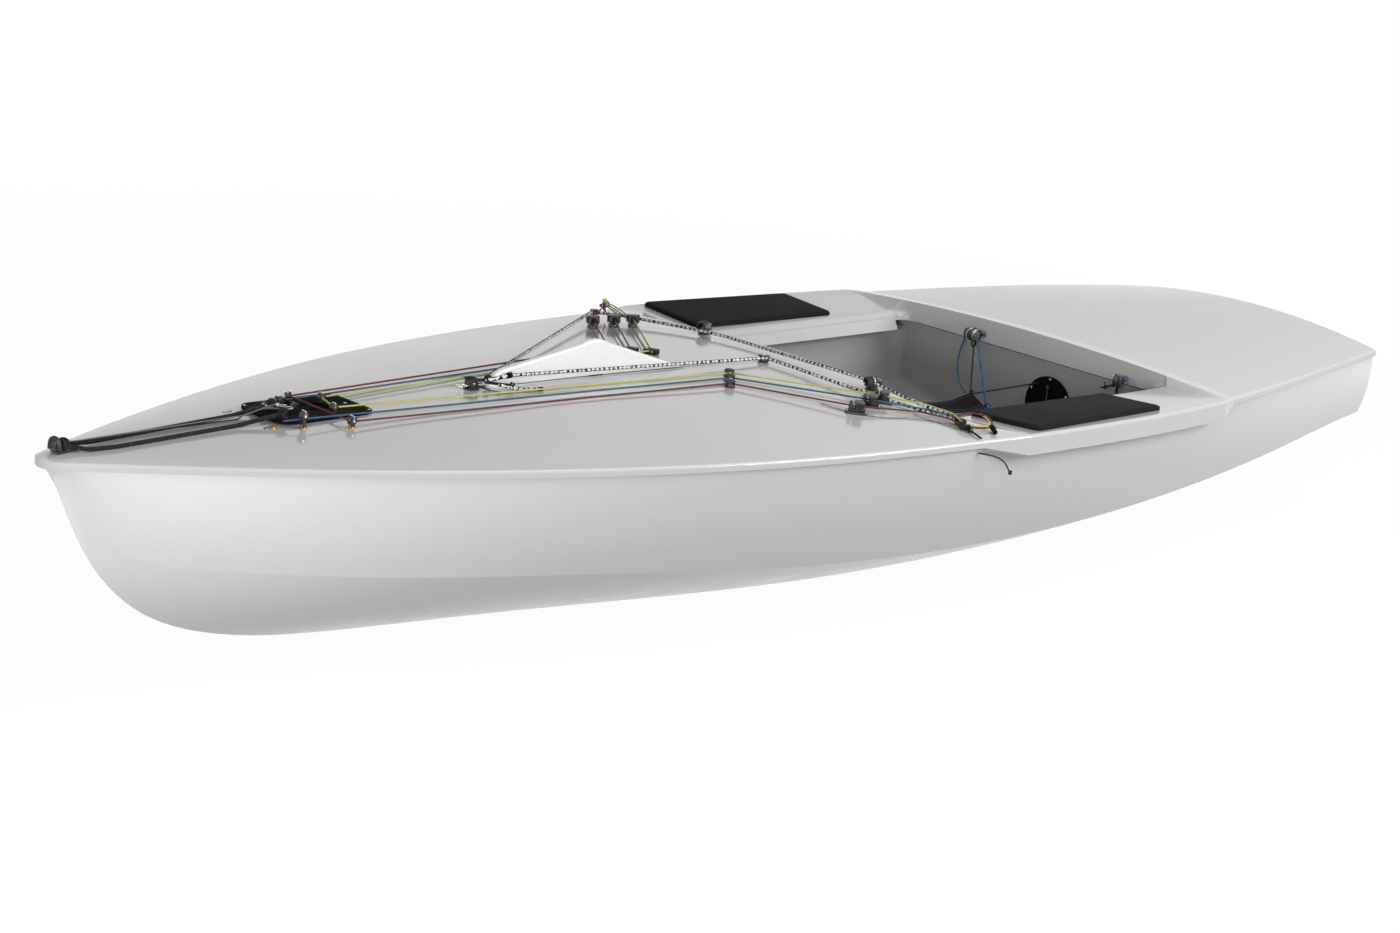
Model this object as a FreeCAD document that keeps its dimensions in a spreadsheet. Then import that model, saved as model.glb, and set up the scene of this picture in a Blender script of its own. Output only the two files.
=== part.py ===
import FreeCAD, Part
import Sketcher
import math
import os
from FreeCAD import Placement, Rotation, Vector

# A single-handed sailing dinghy with one hard chine, a decked hull, an open cockpit,
# a pivoting centreboard and a deck gate for a free-standing mast.
# Frame: +X to the bow, +Y to port, +Z up; origin amidships on the centreline at the waterline.
# Stations are measured forward of the transom, heights above the base line, both in mm.

os.makedirs("parts", exist_ok=True)
doc = FreeCAD.newDocument("sailing_dinghy")
sheet = doc.addObject("Spreadsheet::Sheet", "Sizes")

SIZES = (
    # alias, mm
    ("length_overall", 4000),
    ("beam_moulded", 1384),
    ("waterline_height", 135),
    ("bottom_bulge", 22),
    ("topside_bulge", 9),
    ("chine_fades_from", 260),
    ("chine_gone_at", 120),
    ("lip_overhang", 9),
    ("lip_depth", 18),
    ("lip_radius", 8),
    ("hull_top_drop", 10),
    ("nose_radius", 51),
    ("nose_rim", 12),
    ("gunwale_flare", 18),
    ("gunwale_depth", 44),
    ("gunwale_rise", 5),
    ("dish_depth", 46),
    ("crown_transom", 39),
    ("crown_well_aft", 27),
    ("crown_well_front", 40),
    ("crown_mast", 48),
    ("ramp_aft", 930),
    ("dish_aft", 1000),
    ("dish_front", 1800),
    ("ramp_front", 1935),
    ("ramp_lead", 3),
    ("well_aft", 980),
    ("well_front", 1885),
    ("well_half", 456),
    ("well_taper", 16),
    ("well_corner", 34),
    ("well_edge_radius", 20),
    ("roll_foot", 472),
    ("roll_run_out", 16),
    ("tub_corner", 34),
    ("coaming_thick", 22),
    ("coaming_foot", 443),
    ("collar_top", 480),
    ("collar_front_top", 496),
    ("fascia_foot", 467),
    ("tub_wall", 9),
    ("tub_recess", 14),
    ("side_recess", 44),
    ("floor_height", 240),
    ("floor_shoulder", 284),
    ("floor_half", 300),
    ("board_thick", 18),
    ("slot_width", 28),
    ("case_wall", 10),
    ("case_aft", 1752),
    ("case_front", 2890),
    ("case_step", 1895),
    ("case_low_top", 462),
    ("slot_aft", 2020),
    ("pivot_x", 2700),
    ("pivot_z", 140),
    ("pivot_radius", 6),
    ("pivot_gap", 0.05),
    ("mast_x", 3330),
    ("mast_radius", 33),
    ("mast_tube_wall", 5),
    ("mast_step_height", 34),
    ("step_shoulder", 1.5),
    ("mast_step_bore", 26),
    ("mast_step_depth", 24),
    ("gate_length", 250),
    ("gate_width", 172),
    ("gate_thick", 6),
    ("gate_ahead", 20),
    ("gate_corner", 34),
    ("gate_let_in", 2),
    ("pad_length", 500),
    ("pad_width", 219),
    ("pad_thick", 11),
    ("pad_corner", 14),
    ("pad_taper", 30),
    ("pad_aft", 1252),
    ("pad_inner", 473),
    ("hatch_radius", 76),
    ("hatch_hole", 62),
    ("hatch_flange", 5),
    ("gudgeon_reach", 42),
    ("gudgeon_width", 30),
    ("gudgeon_thick", 5),
    ("gudgeon_bore", 4),
    ("gudgeon_flange", 3),
    ("strap_width", 58),
    ("strap_thick", 4),
    ("bedding", 0.8),
    ("block_base", 11),
    ("block_height", 24),
    ("cleat_length", 38),
    ("cleat_width", 15),
    ("thin_cord", 3.5),
    ("board_rope", 7.5),
    ("adjuster_line", 5),
)
for row, (alias, value) in enumerate(SIZES, start=1):
    sheet.set("A%d" % row, alias)
    sheet.set("B%d" % row, str(value))
    sheet.setAlias("B%d" % row, alias)
doc.recompute()


def size(alias):
    """The value of one cell of the sheet."""
    return float(sheet.get(alias))


LENGTH = size("length_overall")
WATER = size("waterline_height")
LENGTH_SCALE = LENGTH / 4000.0
BEAM_SCALE = size("beam_moulded") / 1384.0


def fore(station):
    """Frame X of a station given forward of the transom on the 4 m hull."""
    return station * LENGTH_SCALE - LENGTH / 2.0


def up(height):
    """Frame Z of a height above the base line."""
    return height - WATER


def side(half_breadth):
    """Frame Y of a half-breadth of the hull lines."""
    return half_breadth * BEAM_SCALE


# Guide lines of the hull: station, height, half-breadth.
SHEER = (
    (0, 494, 437), (500, 502, 563), (1000, 501, 653), (1500, 506, 691), (2000, 511, 683),
    (2500, 515, 625), (3000, 520, 499), (3500, 525, 297), (3850, 530, 116), (4000, 531, 30),
)
CHINE = (
    (0, 308, 406), (500, 256, 465), (1000, 215, 511), (1500, 195, 534), (2000, 195, 522),
    (2500, 215, 464), (3000, 244, 356), (3400, 264, 236), (3700, 290, 118), (3830, 325, 58),
    (3905, 410, 26), (3962, 500, 12),
)
KEEL = (
    (0, 222, 0), (500, 128, 0), (1000, 52, 0), (1500, 4, 0), (2000, -12, 0), (2500, 10, 0),
    (3000, 37, 0), (3400, 66, 0), (3620, 112, 0), (3750, 173, 0), (3850, 266, 0),
    (3925, 392, 0), (3980, 520, 0),
)
# Hull sections: station at the sheer, station at the keel. The last ones lean with the stem.
SECTIONS = (
    (0, 0), (450, 450), (950, 950), (1450, 1450), (1950, 1950), (2450, 2450), (2950, 2950),
    (3350, 3350), (3620, 3600), (3790, 3755), (3900, 3850), (3948, 3905), (3984, 3957),
)


def guide(rows):
    """A smooth curve through the rows of one guide table."""
    curve = Part.BSplineCurve()
    curve.interpolate([Vector(fore(s), side(y), up(z)) for s, z, y in rows])
    return curve


sheer_line = guide(SHEER)
chine_line = guide(CHINE)
keel_line = guide(KEEL)


def on_guide(curve, ahead):
    """The point of a guide curve where the function ahead(point) turns from minus to plus."""
    low = curve.FirstParameter
    high = curve.LastParameter
    for step in range(50):
        middle = (low + high) / 2.0
        if ahead(curve.value(middle)) < 0:
            low = middle
        else:
            high = middle
    return curve.value(low)


def at_station(curve, station):
    """The point of a guide curve at one station."""
    x = fore(station)
    return on_guide(curve, lambda point: point.x - x)


def mirrored(point):
    return Vector(point.x, -point.y, point.z)


def hull_section(sheer_station, keel_station, drop):
    """Closed section in a plane across the hull that may lean with the stem."""
    keel = at_station(keel_line, keel_station)
    sheer = at_station(sheer_line, sheer_station)
    top = Vector(sheer.x, max(sheer.y - size("lip_overhang"), 6.0), sheer.z - drop)
    slope = (top.x - keel.x) / (top.z - keel.z)

    def leaned(y, z):
        return Vector(keel.x + slope * (z - keel.z), y, z)

    chine = on_guide(chine_line, lambda p: p.x - leaned(0, p.z).x)
    chine = leaned(chine.y, chine.z)
    narrow = min(1.0, chine.y / 300.0)
    roundness = min(1.0, max(0.0, (size("chine_fades_from") - chine.y)
                             / (size("chine_fades_from") - size("chine_gone_at"))))
    lower = math.hypot(chine.y, chine.z - keel.z)
    upper = math.hypot(top.y - chine.y, top.z - chine.z)
    turn = (math.atan2(top.z - chine.z, top.y - chine.y)
            - math.atan2(chine.z - keel.z, chine.y))

    def bulge(chord, firm):
        """How far an arc stands out: firm on a hard chine, on one shared circle where it fades."""
        shared = chord / 2 * math.tan(turn * chord / (lower + upper) / 2)
        return firm + (shared - firm) * roundness

    def bulged(start, end, bulge):
        """An arc whose middle stands out from its chord, down and outboard."""
        across = end.y - start.y
        rise = end.z - start.z
        chord = math.hypot(across, rise)
        return leaned((start.y + end.y) / 2 + bulge * rise / chord,
                      (start.z + end.z) / 2 - bulge * across / chord)

    low = bulged(keel, chine, bulge(lower, size("bottom_bulge") * narrow + 1.5))
    high = bulged(chine, top, bulge(upper, size("topside_bulge") * narrow + 1.5))
    edges = [
        Part.Arc(keel, low, chine).toShape(),
        Part.Arc(chine, high, top).toShape(),
        Part.makeLine(top, mirrored(top)),
        Part.Arc(mirrored(top), mirrored(high), mirrored(chine)).toShape(),
        Part.Arc(mirrored(chine), mirrored(low), keel).toShape(),
    ]
    return Part.Wire(edges)


hull_sections = [hull_section(s, k, size("hull_top_drop")) for s, k in SECTIONS]
hull_skin = Part.makeLoft(hull_sections, True, False)
if not hull_skin.isValid() or hull_skin.Volume <= 0:
    raise SystemExit("the hull loft failed")


def crown_at(station):
    """Height of the deck's camber, interpolated between a few stations."""
    rows = (
        (0, size("crown_transom")), (930, size("crown_well_aft")),
        (1935, size("crown_well_front")), (2800, size("crown_mast")),
        (3400, size("crown_mast") - 8), (3800, 18), (4000, 4),
    )
    for (left, low), (right, high) in zip(rows, rows[1:]):
        if left <= station <= right:
            return low + (high - low) * (station - left) / (right - left)
    return rows[-1][1]


def deck_section(station, flare, dished=False):
    """Closed deck section: flat underside, lip with a rounded top edge, cambered or dished top.

    The flare is the share of the side decks' wide gunwale, from 0 to 1.
    """
    edge = at_station(sheer_line, station)
    half = edge.y + size("gunwale_flare") * flare
    depth = size("lip_depth") + (size("gunwale_depth") - size("lip_depth")) * flare
    top = edge.z + size("gunwale_rise") * flare
    radius = min(size("lip_radius"), half * 0.4)
    x = edge.x
    foot = Vector(x, half, edge.z - depth)
    shoulder = Vector(x, half, top - radius)
    corner = Vector(x, half - radius * 0.29, top - radius * 0.29)
    inner = Vector(x, half - radius, top)
    if dished:
        middle = Vector(x, 0, top - size("dish_depth"))
        deck_port = Part.makeLine(inner, middle)
        deck_starboard = Part.makeLine(middle, mirrored(inner))
    else:
        crown = crown_at(station)
        middle = Vector(x, 0, top + crown)
        reach = inner.y
        bend = (reach * reach + crown * crown) / (2.0 * crown)
        quarter = Vector(x, reach / 2.0, middle.z - bend + math.sqrt(bend ** 2 - reach ** 2 / 4))
        deck_port = Part.Arc(inner, quarter, middle).toShape()
        deck_starboard = Part.Arc(middle, mirrored(quarter), mirrored(inner)).toShape()
    edges = [
        Part.makeLine(mirrored(foot), foot), Part.makeLine(foot, shoulder),
        Part.Arc(shoulder, corner, inner).toShape(), deck_port, deck_starboard,
        Part.Arc(mirrored(inner), mirrored(corner), mirrored(shoulder)).toShape(),
        Part.makeLine(mirrored(shoulder), mirrored(foot)),
    ]
    return Part.Wire(edges)


def deck_loft(sections, ruled=False):
    return Part.makeLoft(sections, True, ruled)


def even(first, last, count):
    return [first + (last - first) * i / (count - 1.0) for i in range(count)]


ramp_aft = size("ramp_aft")
dish_aft = size("dish_aft")
dish_front = size("dish_front")
ramp_front = size("ramp_front")
well_aft_station = size("well_aft") + size("ramp_lead")
well_front_station = size("well_front") - size("ramp_lead")
flare_aft = (well_aft_station - ramp_aft) / (dish_aft - ramp_aft)
flare_front = (ramp_front - well_front_station) / (ramp_front - dish_front)
BOW_STATIONS = (2200, 2480, 2760, 3040, 3310, 3550, 3740, 3870, 3950, 3988, 4000)
aft_end = deck_section(ramp_aft, 0.0)
aft_shelf = deck_section(well_aft_station, flare_aft)
aft_dish = deck_section(dish_aft, 1.0, True)
front_dish = deck_section(dish_front, 1.0, True)
front_shelf = deck_section(well_front_station, flare_front)
front_end = deck_section(ramp_front, 0.0)
deck_parts = [
    deck_loft([deck_section(s, 0.0) for s in even(0, ramp_aft, 4)]),
    deck_loft([aft_end, aft_shelf], True),
    deck_loft([aft_shelf, aft_dish], True),
    deck_loft([deck_section(s, 1.0, True) for s in even(dish_aft, dish_front, 4)]),
    deck_loft([front_dish, front_shelf], True),
    deck_loft([front_shelf, front_end], True),
    deck_loft([front_end] + [deck_section(s, 0.0) for s in BOW_STATIONS]),
]
for number, part in enumerate(deck_parts):
    if not part.isValid() or part.Volume <= 0:
        raise SystemExit("deck loft %d failed" % number)


def box(x_low, x_high, y_low, y_high, z_low, z_high):
    return Part.makeBox(x_high - x_low, y_high - y_low, z_high - z_low,
                        Vector(x_low, y_low, z_low))


def round_rectangle(x_low, x_high, half, radius, z):
    """Closed wire of a rectangle with rounded corners, symmetric about the centreline."""
    face = Part.makePlane(x_high - x_low, 2 * half, Vector(x_low, -half, z))
    block = face.extrude(Vector(0, 0, 10))
    uprights = [e for e in block.Edges if abs(e.BoundBox.ZLength - 10) < 1e-6
                and e.BoundBox.DiagonalLength < 10.01]
    rounded = block.makeFillet(radius, uprights)
    lowest = [f for f in rounded.Faces if f.BoundBox.ZLength < 1e-6 and f.BoundBox.ZMin < z + 1]
    return lowest[0].OuterWire


def stand(label, shape):
    """Put a finished shape into the document as a sub-part of its own."""
    piece = doc.addObject("Part::Feature", label)
    piece.Shape = shape
    piece.Label = label
    nodes.append(piece)
    return piece


nodes = []

# The well: a box opening whose turned-down side decks lean in over the tub.
well_aft = fore(size("well_aft"))
well_front = fore(size("well_front"))
well_half = size("well_half")
taper = size("well_taper")
thick = size("coaming_thick")
foot = up(size("coaming_foot"))
roll = size("well_edge_radius")
roll_foot = up(size("roll_foot"))


def well_outline(spread, z):
    """The well's outline at one height, standing out from its wall by the spread."""
    return round_rectangle(well_aft, well_front, well_half - roll * 0.25 + spread,
                           size("well_corner"), z)


def rolled(turn):
    """One outline of the rolled edge, where the wall has turned by so many degrees."""
    angle = math.radians(turn)
    return well_outline(roll * (1 - math.cos(angle)), roll_foot + roll * math.sin(angle))


roll_end = roll * (1 - math.cos(math.radians(72)))
roll_end_z = roll_foot + roll * math.sin(math.radians(72))
lip_spread = roll_end + size("roll_run_out")
opening = Part.makeLoft([well_outline(-taper, foot - 1), rolled(0)], True, True)
opening = opening.fuse(Part.makeLoft([rolled(turn) for turn in (0, 18, 36, 54, 72)], True, False))
opening = opening.fuse(Part.makeLoft([rolled(72), well_outline(lip_spread, roll_end_z + 5)],
                                     True, True))
opening = opening.fuse(Part.Face(well_outline(lip_spread, roll_end_z + 5)).extrude(
    Vector(0, 0, 150)))
tub_half = well_half - taper + size("side_recess")
collar_half = tub_half + size("tub_wall")
collar = box(well_aft - thick, well_front + thick, -collar_half, collar_half,
             foot, up(size("collar_top")))
collar = collar.fuse(box(well_front - 10, well_front + thick, -collar_half, collar_half, foot,
                         up(size("collar_front_top"))))

# The centreboard's slot and its case.
slot_half = size("slot_width") / 2.0
case_half = slot_half + size("case_wall")
case_aft = fore(size("case_aft"))
case_front = fore(size("case_front"))
case_wall = size("case_wall")
slot = box(case_aft + case_wall, case_front - case_wall, -slot_half, slot_half, up(-60), up(430))
slot = slot.fuse(box(fore(size("case_step")) + 4, case_front - case_wall, -slot_half, slot_half,
                     up(-60), up(480)))
deck_slot = box(fore(size("slot_aft")), case_front - case_wall, -slot_half, slot_half,
                up(300), up(700))
slot = slot.fuse(deck_slot)
case_block = box(case_aft, case_front, -case_half, case_half, up(-60), up(600))

# The mast's tube through the hull.
mast_x = fore(size("mast_x"))
tube_radius = size("mast_radius") + size("mast_tube_wall")
step_floor = at_station(keel_line, size("mast_x")).z + 28
tube_space = Part.makeCylinder(tube_radius, 900, Vector(mast_x, 0, step_floor))

# The tub under the well.
wall = size("tub_wall")
recess = size("tub_recess")
tub_aft = well_aft - recess
tub_front = well_front + recess
floor_z = up(size("floor_height"))
shoulder_z = up(size("floor_shoulder"))


def tub_outline(half, low, top, floor_half, x):
    points = [Vector(x, -half, top), Vector(x, -half, low[1]), Vector(x, -floor_half, low[0]),
              Vector(x, floor_half, low[0]), Vector(x, half, low[1]), Vector(x, half, top)]
    return Part.makePolygon(points + points[:1])


def rounded_ends(block, radius):
    """A trough with its ends rounded into its sides and floor."""
    top = block.BoundBox.ZMax
    ends = [e for e in block.Edges if e.BoundBox.XLength < 1e-6 and e.BoundBox.ZMin < top - 1e-6]
    return block.makeFillet(radius, ends)


floor_half = size("floor_half")
inner_wire = tub_outline(tub_half, (floor_z, shoulder_z), foot + 40, floor_half, tub_aft)
inner_tub = rounded_ends(Part.Face(inner_wire).extrude(Vector(tub_front - tub_aft, 0, 0)),
                         size("tub_corner"))
outer_wire = tub_outline(tub_half + wall, (floor_z - wall, shoulder_z - wall), foot,
                         floor_half + 3, tub_aft - wall)
outer_tub = rounded_ends(Part.Face(outer_wire).extrude(Vector(tub_front - tub_aft + 2 * wall, 0, 0)),
                         size("tub_corner") + wall)
fascia_foot = up(size("fascia_foot"))
aft_rise = box(tub_aft - wall, tub_aft, -tub_half - wall, tub_half + wall, foot - 1, fascia_foot)
tub = outer_tub.fuse(aft_rise).cut(inner_tub)
case_low = case_block.common(hull_skin)
case_low = case_low.cut(box(case_aft - 5, fore(size("case_step")), -case_half - 1, case_half + 1,
                            up(size("case_low_top")), up(700)))
tub = tub.cut(case_low).removeSplitter()

case = case_low.cut(slot)
pin = Part.makeCylinder(size("pivot_radius"), 2 * case_half,
                        Vector(fore(size("pivot_x")), -case_half, up(size("pivot_z"))),
                        Vector(0, 1, 0))
case = case.cut(pin)

blank = deck_parts[0].multiFuse(deck_parts[1:])
hull_cut = hull_skin.cut(blank).cut(outer_tub.fuse(aft_rise)).cut(collar)
hull_cut = hull_cut.cut(box(tub_aft - wall, tub_front + wall, -tub_half - wall, tub_half + wall,
                            foot - 2, up(600)))
hull_cut = hull_cut.cut(case_block.common(hull_skin)).cut(tube_space)
stand("hull", hull_cut)

# The deck moulding.
blank = blank.fuse(collar).cut(case_low)


def deck_height(x, y):
    """Height of the deck moulding's upper surface under a point."""
    drop = Part.makeLine(Vector(x, y, up(700)), Vector(x, y, up(300)))
    hits = drop.common(blank)
    return max(v.Z for v in hits.Vertexes)


deck = blank.cut(opening).cut(deck_slot).cut(tube_space)
deck = deck.cut(box(well_aft - thick - 1, well_aft + 40, -tub_half - wall, tub_half + wall,
                    foot - 10, fascia_foot))
# The bow's tip is rounded in plan and along its upper rim.
nose_radius = size("nose_radius")
nose_round = Part.makeCylinder(nose_radius, 120, Vector(fore(4000) - nose_radius, 0, up(420)))
nose_rim = [e for e in nose_round.Edges if e.BoundBox.ZMin > up(539)]
nose_round = nose_round.makeFillet(size("nose_rim"), nose_rim)
nose_block = box(fore(4000) - nose_radius / 2, fore(4001), -2 * nose_radius, 2 * nose_radius,
                 up(400), up(600))
deck = deck.cut(nose_block.cut(nose_round))

gate_middle = mast_x + size("gate_ahead")
gate_seat = deck_height(mast_x, 0) - size("gate_let_in")
gate_reach = size("gate_length") / 2.0
gate_recess = Part.Face(round_rectangle(gate_middle - gate_reach, gate_middle + gate_reach,
                                        size("gate_width") / 2, size("gate_corner"), gate_seat))
deck = deck.cut(gate_recess.extrude(Vector(0, 0, 60)))
stand("deck", deck)
stand("cockpit_tub", tub)
stand("centreboard_case", case)
stand("centreboard_pivot", pin)


# Sketch-based sub-parts.
def body_named(label):
    body = doc.addObject("PartDesign::Body", label)
    body.Label = label
    nodes.append(body)
    return body


def sketch_on(body, role, name):
    """A sketch attached to one of the body's own origin planes."""
    sketch = body.newObject("Sketcher::SketchObject", name)
    planes = [f for f in body.Origin.OriginFeatures if f.Role == role]
    sketch.AttachmentSupport = [(planes[0], "")]
    sketch.MapMode = "FlatFace"
    return sketch


def pad(body, sketch, name, length, symmetric=False):
    feature = body.newObject("PartDesign::Pad", name)
    feature.Profile = sketch
    feature.SideType = "Symmetric" if symmetric else "One side"
    feature.setExpression("Length", length)
    doc.recompute()
    return feature


def pocket(body, sketch, name, length, symmetric=False, reverse=False):
    before = body.Shape.Volume
    feature = body.newObject("PartDesign::Pocket", name)
    feature.Profile = sketch
    feature.SideType = "Symmetric" if symmetric else "One side"
    feature.Reversed = reverse
    feature.setExpression("Length", length)
    doc.recompute()
    if body.Shape.Volume >= before - 1:
        raise SystemExit("%s of %s cuts nothing" % (name, body.Label))
    return feature


def circle(sketch, x, y, radius):
    """A circle whose radius is bound to an expression of the sheet."""
    index = sketch.addGeometry(Part.Circle(Vector(x, y, 0), Vector(0, 0, 1), 1.0), False)
    number = sketch.addConstraint(Sketcher.Constraint("Radius", index, 1.0))
    sketch.setExpression("Constraints[%d]" % number, radius)
    return index


def rectangle(sketch, length, width):
    """A rectangle centred on the sketch origin, its sides bound to the sheet."""
    corners = [Vector(-1, -1, 0), Vector(1, -1, 0), Vector(1, 1, 0), Vector(-1, 1, 0)]
    first = sketch.GeometryCount
    for i in range(4):
        sketch.addGeometry(Part.LineSegment(corners[i], corners[(i + 1) % 4]), False)
    for i in range(4):
        sketch.addConstraint(Sketcher.Constraint("Coincident", first + i, 2,
                                                 first + (i + 1) % 4, 1))
    for i in (0, 2):
        sketch.addConstraint(Sketcher.Constraint("Horizontal", first + i))
    for i in (1, 3):
        sketch.addConstraint(Sketcher.Constraint("Vertical", first + i))
    sketch.addConstraint(Sketcher.Constraint("Symmetric", first, 1, first + 1, 2, -1, 1))
    across = sketch.addConstraint(Sketcher.Constraint("DistanceX", first, 1, first, 2, 2.0))
    sketch.setExpression("Constraints[%d]" % across, length)
    along = sketch.addConstraint(Sketcher.Constraint("DistanceY", first + 1, 1, first + 1, 2, 2.0))
    sketch.setExpression("Constraints[%d]" % along, width)


def outline(sketch, path):
    """Lines and arcs through a path of points; a point in a list of two is an arc's middle."""
    start = path[-1]
    start = start[1] if isinstance(start[0], tuple) else start
    for step in path:
        if isinstance(step[0], tuple):
            middle, end = step
            sketch.addGeometry(Part.Arc(Vector(*start, 0), Vector(*middle, 0),
                                        Vector(*end, 0)), False)
        else:
            end = step
            sketch.addGeometry(Part.LineSegment(Vector(*start, 0), Vector(*end, 0)), False)
        start = end


def round_edges(body, base, name, radius, wanted):
    """A fillet of the wanted edges, bound to the sheet."""
    names = ["Edge%d" % (i + 1) for i, e in enumerate(base.Shape.Edges) if wanted(e)]
    feature = body.newObject("PartDesign::Fillet", name)
    feature.Base = (base, names)
    feature.setExpression("Radius", radius)
    body.Tip = feature
    doc.recompute()
    return feature


def bevel_edges(body, base, name, width, wanted):
    names = ["Edge%d" % (i + 1) for i, e in enumerate(base.Shape.Edges) if wanted(e)]
    feature = body.newObject("PartDesign::Chamfer", name)
    feature.Base = (base, names)
    feature.setExpression("Size", width)
    body.Tip = feature
    doc.recompute()
    return feature


def upright(edge):
    box = edge.BoundBox
    return box.ZLength > 1 and box.XLength < 1e-6 and box.YLength < 1e-6


# The centreboard, raised: a long blade whose rounded head stands through the deck.
BOARD_PATH = (
    (2862, 545), ((2853, 577), (2820, 602)), (2585, 640), ((2545, 648), (2500, 636)),
    (1995, 469), ((1870, 405), (1800, 290)), ((1806, 190), (1860, 135)), (2600, 60),
    ((2700, 62), (2744, 122)),
)


def board_point(point):
    return (fore(point[0]), up(point[1]))


board = body_named("centreboard")
board_outline = sketch_on(board, "XZ_Plane", "board_outline")
outline(board_outline, [tuple(board_point(q) for q in p) if isinstance(p[0], tuple)
                        else board_point(p) for p in BOARD_PATH])
board_pad = pad(board, board_outline, "board_blade", "Sizes.board_thick", True)
pivot_hole = sketch_on(board, "XZ_Plane", "board_pivot")
circle(pivot_hole, fore(size("pivot_x")), up(size("pivot_z")), "Sizes.pivot_radius + Sizes.pivot_gap")
board_bore = pocket(board, pivot_hole, "board_bore", "Sizes.board_thick * 2", True)
board_round = round_edges(board, board_bore, "board_edges", "Sizes.board_thick * 0.33",
                          lambda e: e.BoundBox.YLength < 1e-6 and e.BoundBox.DiagonalLength > 30)


def on_deck(station, y, heading=0.0, lift=size("bedding"), span=9.0):
    """Placement that stands a piece on the deck, tilted with it and turned by heading."""
    x = fore(station)
    y = side(y)
    here = deck_height(x, y)
    roll = math.atan2(deck_height(x, y + span) - deck_height(x, y - span), 2 * span)
    pitch = math.atan2(deck_height(x - span, y) - deck_height(x + span, y), 2 * span)
    tilt = Rotation(Vector(1, 0, 0), math.degrees(roll)) * Rotation(Vector(0, 1, 0),
                                                                   math.degrees(pitch))
    return Placement(Vector(x, y, here + lift), tilt * Rotation(Vector(0, 0, 1), heading))




def on_plate(station, y, heading):
    """Placement that stands a piece on the mast gate's level plate."""
    plate_top = gate_seat + size("gate_thick")
    return Placement(Vector(fore(station), side(y), plate_top), Rotation(Vector(0, 0, 1), heading))


def seat(station, y, heading):
    """Placement on whatever is under a deck fitting: the mast gate's plate or the deck."""
    ahead = abs(fore(station) - gate_middle) < size("gate_length") / 2
    if ahead and abs(y) < size("gate_width") / 2:
        return on_plate(station, y, heading)
    return on_deck(station, y, heading)


def deck_block(radius, height):
    """A flat block: base plate, sheave on its post and top cheek."""
    cheek = height * 0.18
    base = Part.makeCylinder(radius, cheek)
    sheave = Part.makeCylinder(radius * 0.8, height - 2 * cheek, Vector(0, 0, cheek))
    top = Part.makeCylinder(radius, cheek, Vector(0, 0, height - cheek))
    ear = Part.makeBox(radius * 2.6, radius * 0.9, cheek,
                       Vector(-radius * 1.3, -radius * 0.45, 0))
    return base.multiFuse([sheave, top, ear]).removeSplitter()


def standing_block(radius, height):
    """An upright block on a round swivel cup."""
    cup = Part.makeCylinder(radius * 0.95, height * 0.16)
    neck = Part.makeCylinder(radius * 0.36, height * 0.34)
    centre = height - radius
    parts = [neck]
    for y in (-radius * 0.5, radius * 0.3):
        parts.append(Part.makeCylinder(radius, radius * 0.2, Vector(0, y, centre), Vector(0, 1, 0)))
    parts.append(Part.makeCylinder(radius * 0.75, radius, Vector(0, -radius * 0.5, centre),
                                   Vector(0, 1, 0)))
    return cup.multiFuse(parts).removeSplitter()


def arch_bar(radius, half_thick, x, foot_z, centre_z, depth):
    """A flat bar bent into an arch across the line, standing on foot_z."""
    def leg(y, low, high):
        return Part.makeLine(Vector(x, y, low), Vector(x, y, high))

    outer = radius + half_thick
    inner = radius - half_thick
    edges = [
        leg(-outer, foot_z, centre_z),
        Part.Arc(Vector(x, -outer, centre_z), Vector(x, 0, centre_z + outer),
                 Vector(x, outer, centre_z)).toShape(),
        leg(outer, centre_z, foot_z),
        Part.makeLine(Vector(x, outer, foot_z), Vector(x, inner, foot_z)),
        leg(inner, foot_z, centre_z),
        Part.Arc(Vector(x, inner, centre_z), Vector(x, 0, centre_z + inner),
                 Vector(x, -inner, centre_z)).toShape(),
        leg(-inner, centre_z, foot_z),
        Part.makeLine(Vector(x, -inner, foot_z), Vector(x, -outer, foot_z)),
    ]
    return Part.Face(Part.Wire(edges)).extrude(Vector(depth, 0, 0))


def cam_cleat(length, width):
    """A cam cleat: base, two toothed cams as tapered drums and a bridge over the line."""
    base = Part.makeBox(length, width, 4, Vector(-length / 2, -width / 2, 0))
    parts = []
    for y in (-width * 0.31, width * 0.31):
        parts.append(Part.makeCone(width * 0.24, width * 0.28, 8, Vector(0, y, 4)))
    parts.append(arch_bar(width * 0.38, 1.4, length * 0.3, 3, 17, 4))
    return base.multiFuse(parts).removeSplitter()


def swivel_cleat(length, width):
    """A cam cleat on a swivelling arm with a tall arch for the line."""
    base_height = 4
    arm_foot = 9
    arm_height = 5
    base = Part.makeCylinder(width * 1.05, base_height)
    stem = Part.makeCylinder(width * 0.7, arm_foot + 2)
    arm = Part.makeBox(length * 1.1, width * 1.6, arm_height,
                       Vector(-length * 0.4, -width * 0.8, arm_foot))
    cleat = base.fuse(stem).fuse(arm)
    for y in (-width * 0.36, width * 0.36):
        cam_foot = Vector(length * 0.5, y, arm_foot + arm_height - 1)
        cleat = cleat.fuse(Part.makeCylinder(width * 0.3, 9, cam_foot))
    arch = arch_bar(width * 0.62, 1.6, -length * 0.1, arm_foot + 3, arm_foot + 11, 5)
    return cleat.fuse(arch)


def group(label, pieces):
    """Several separate fittings of one kind as one sub-part."""
    shapes = []
    for shape, placement in pieces:
        copy = shape.copy()
        copy.Placement = placement
        shapes.append(copy)
    return stand(label, shapes[0] if len(shapes) == 1 else Part.makeCompound(shapes))


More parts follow.
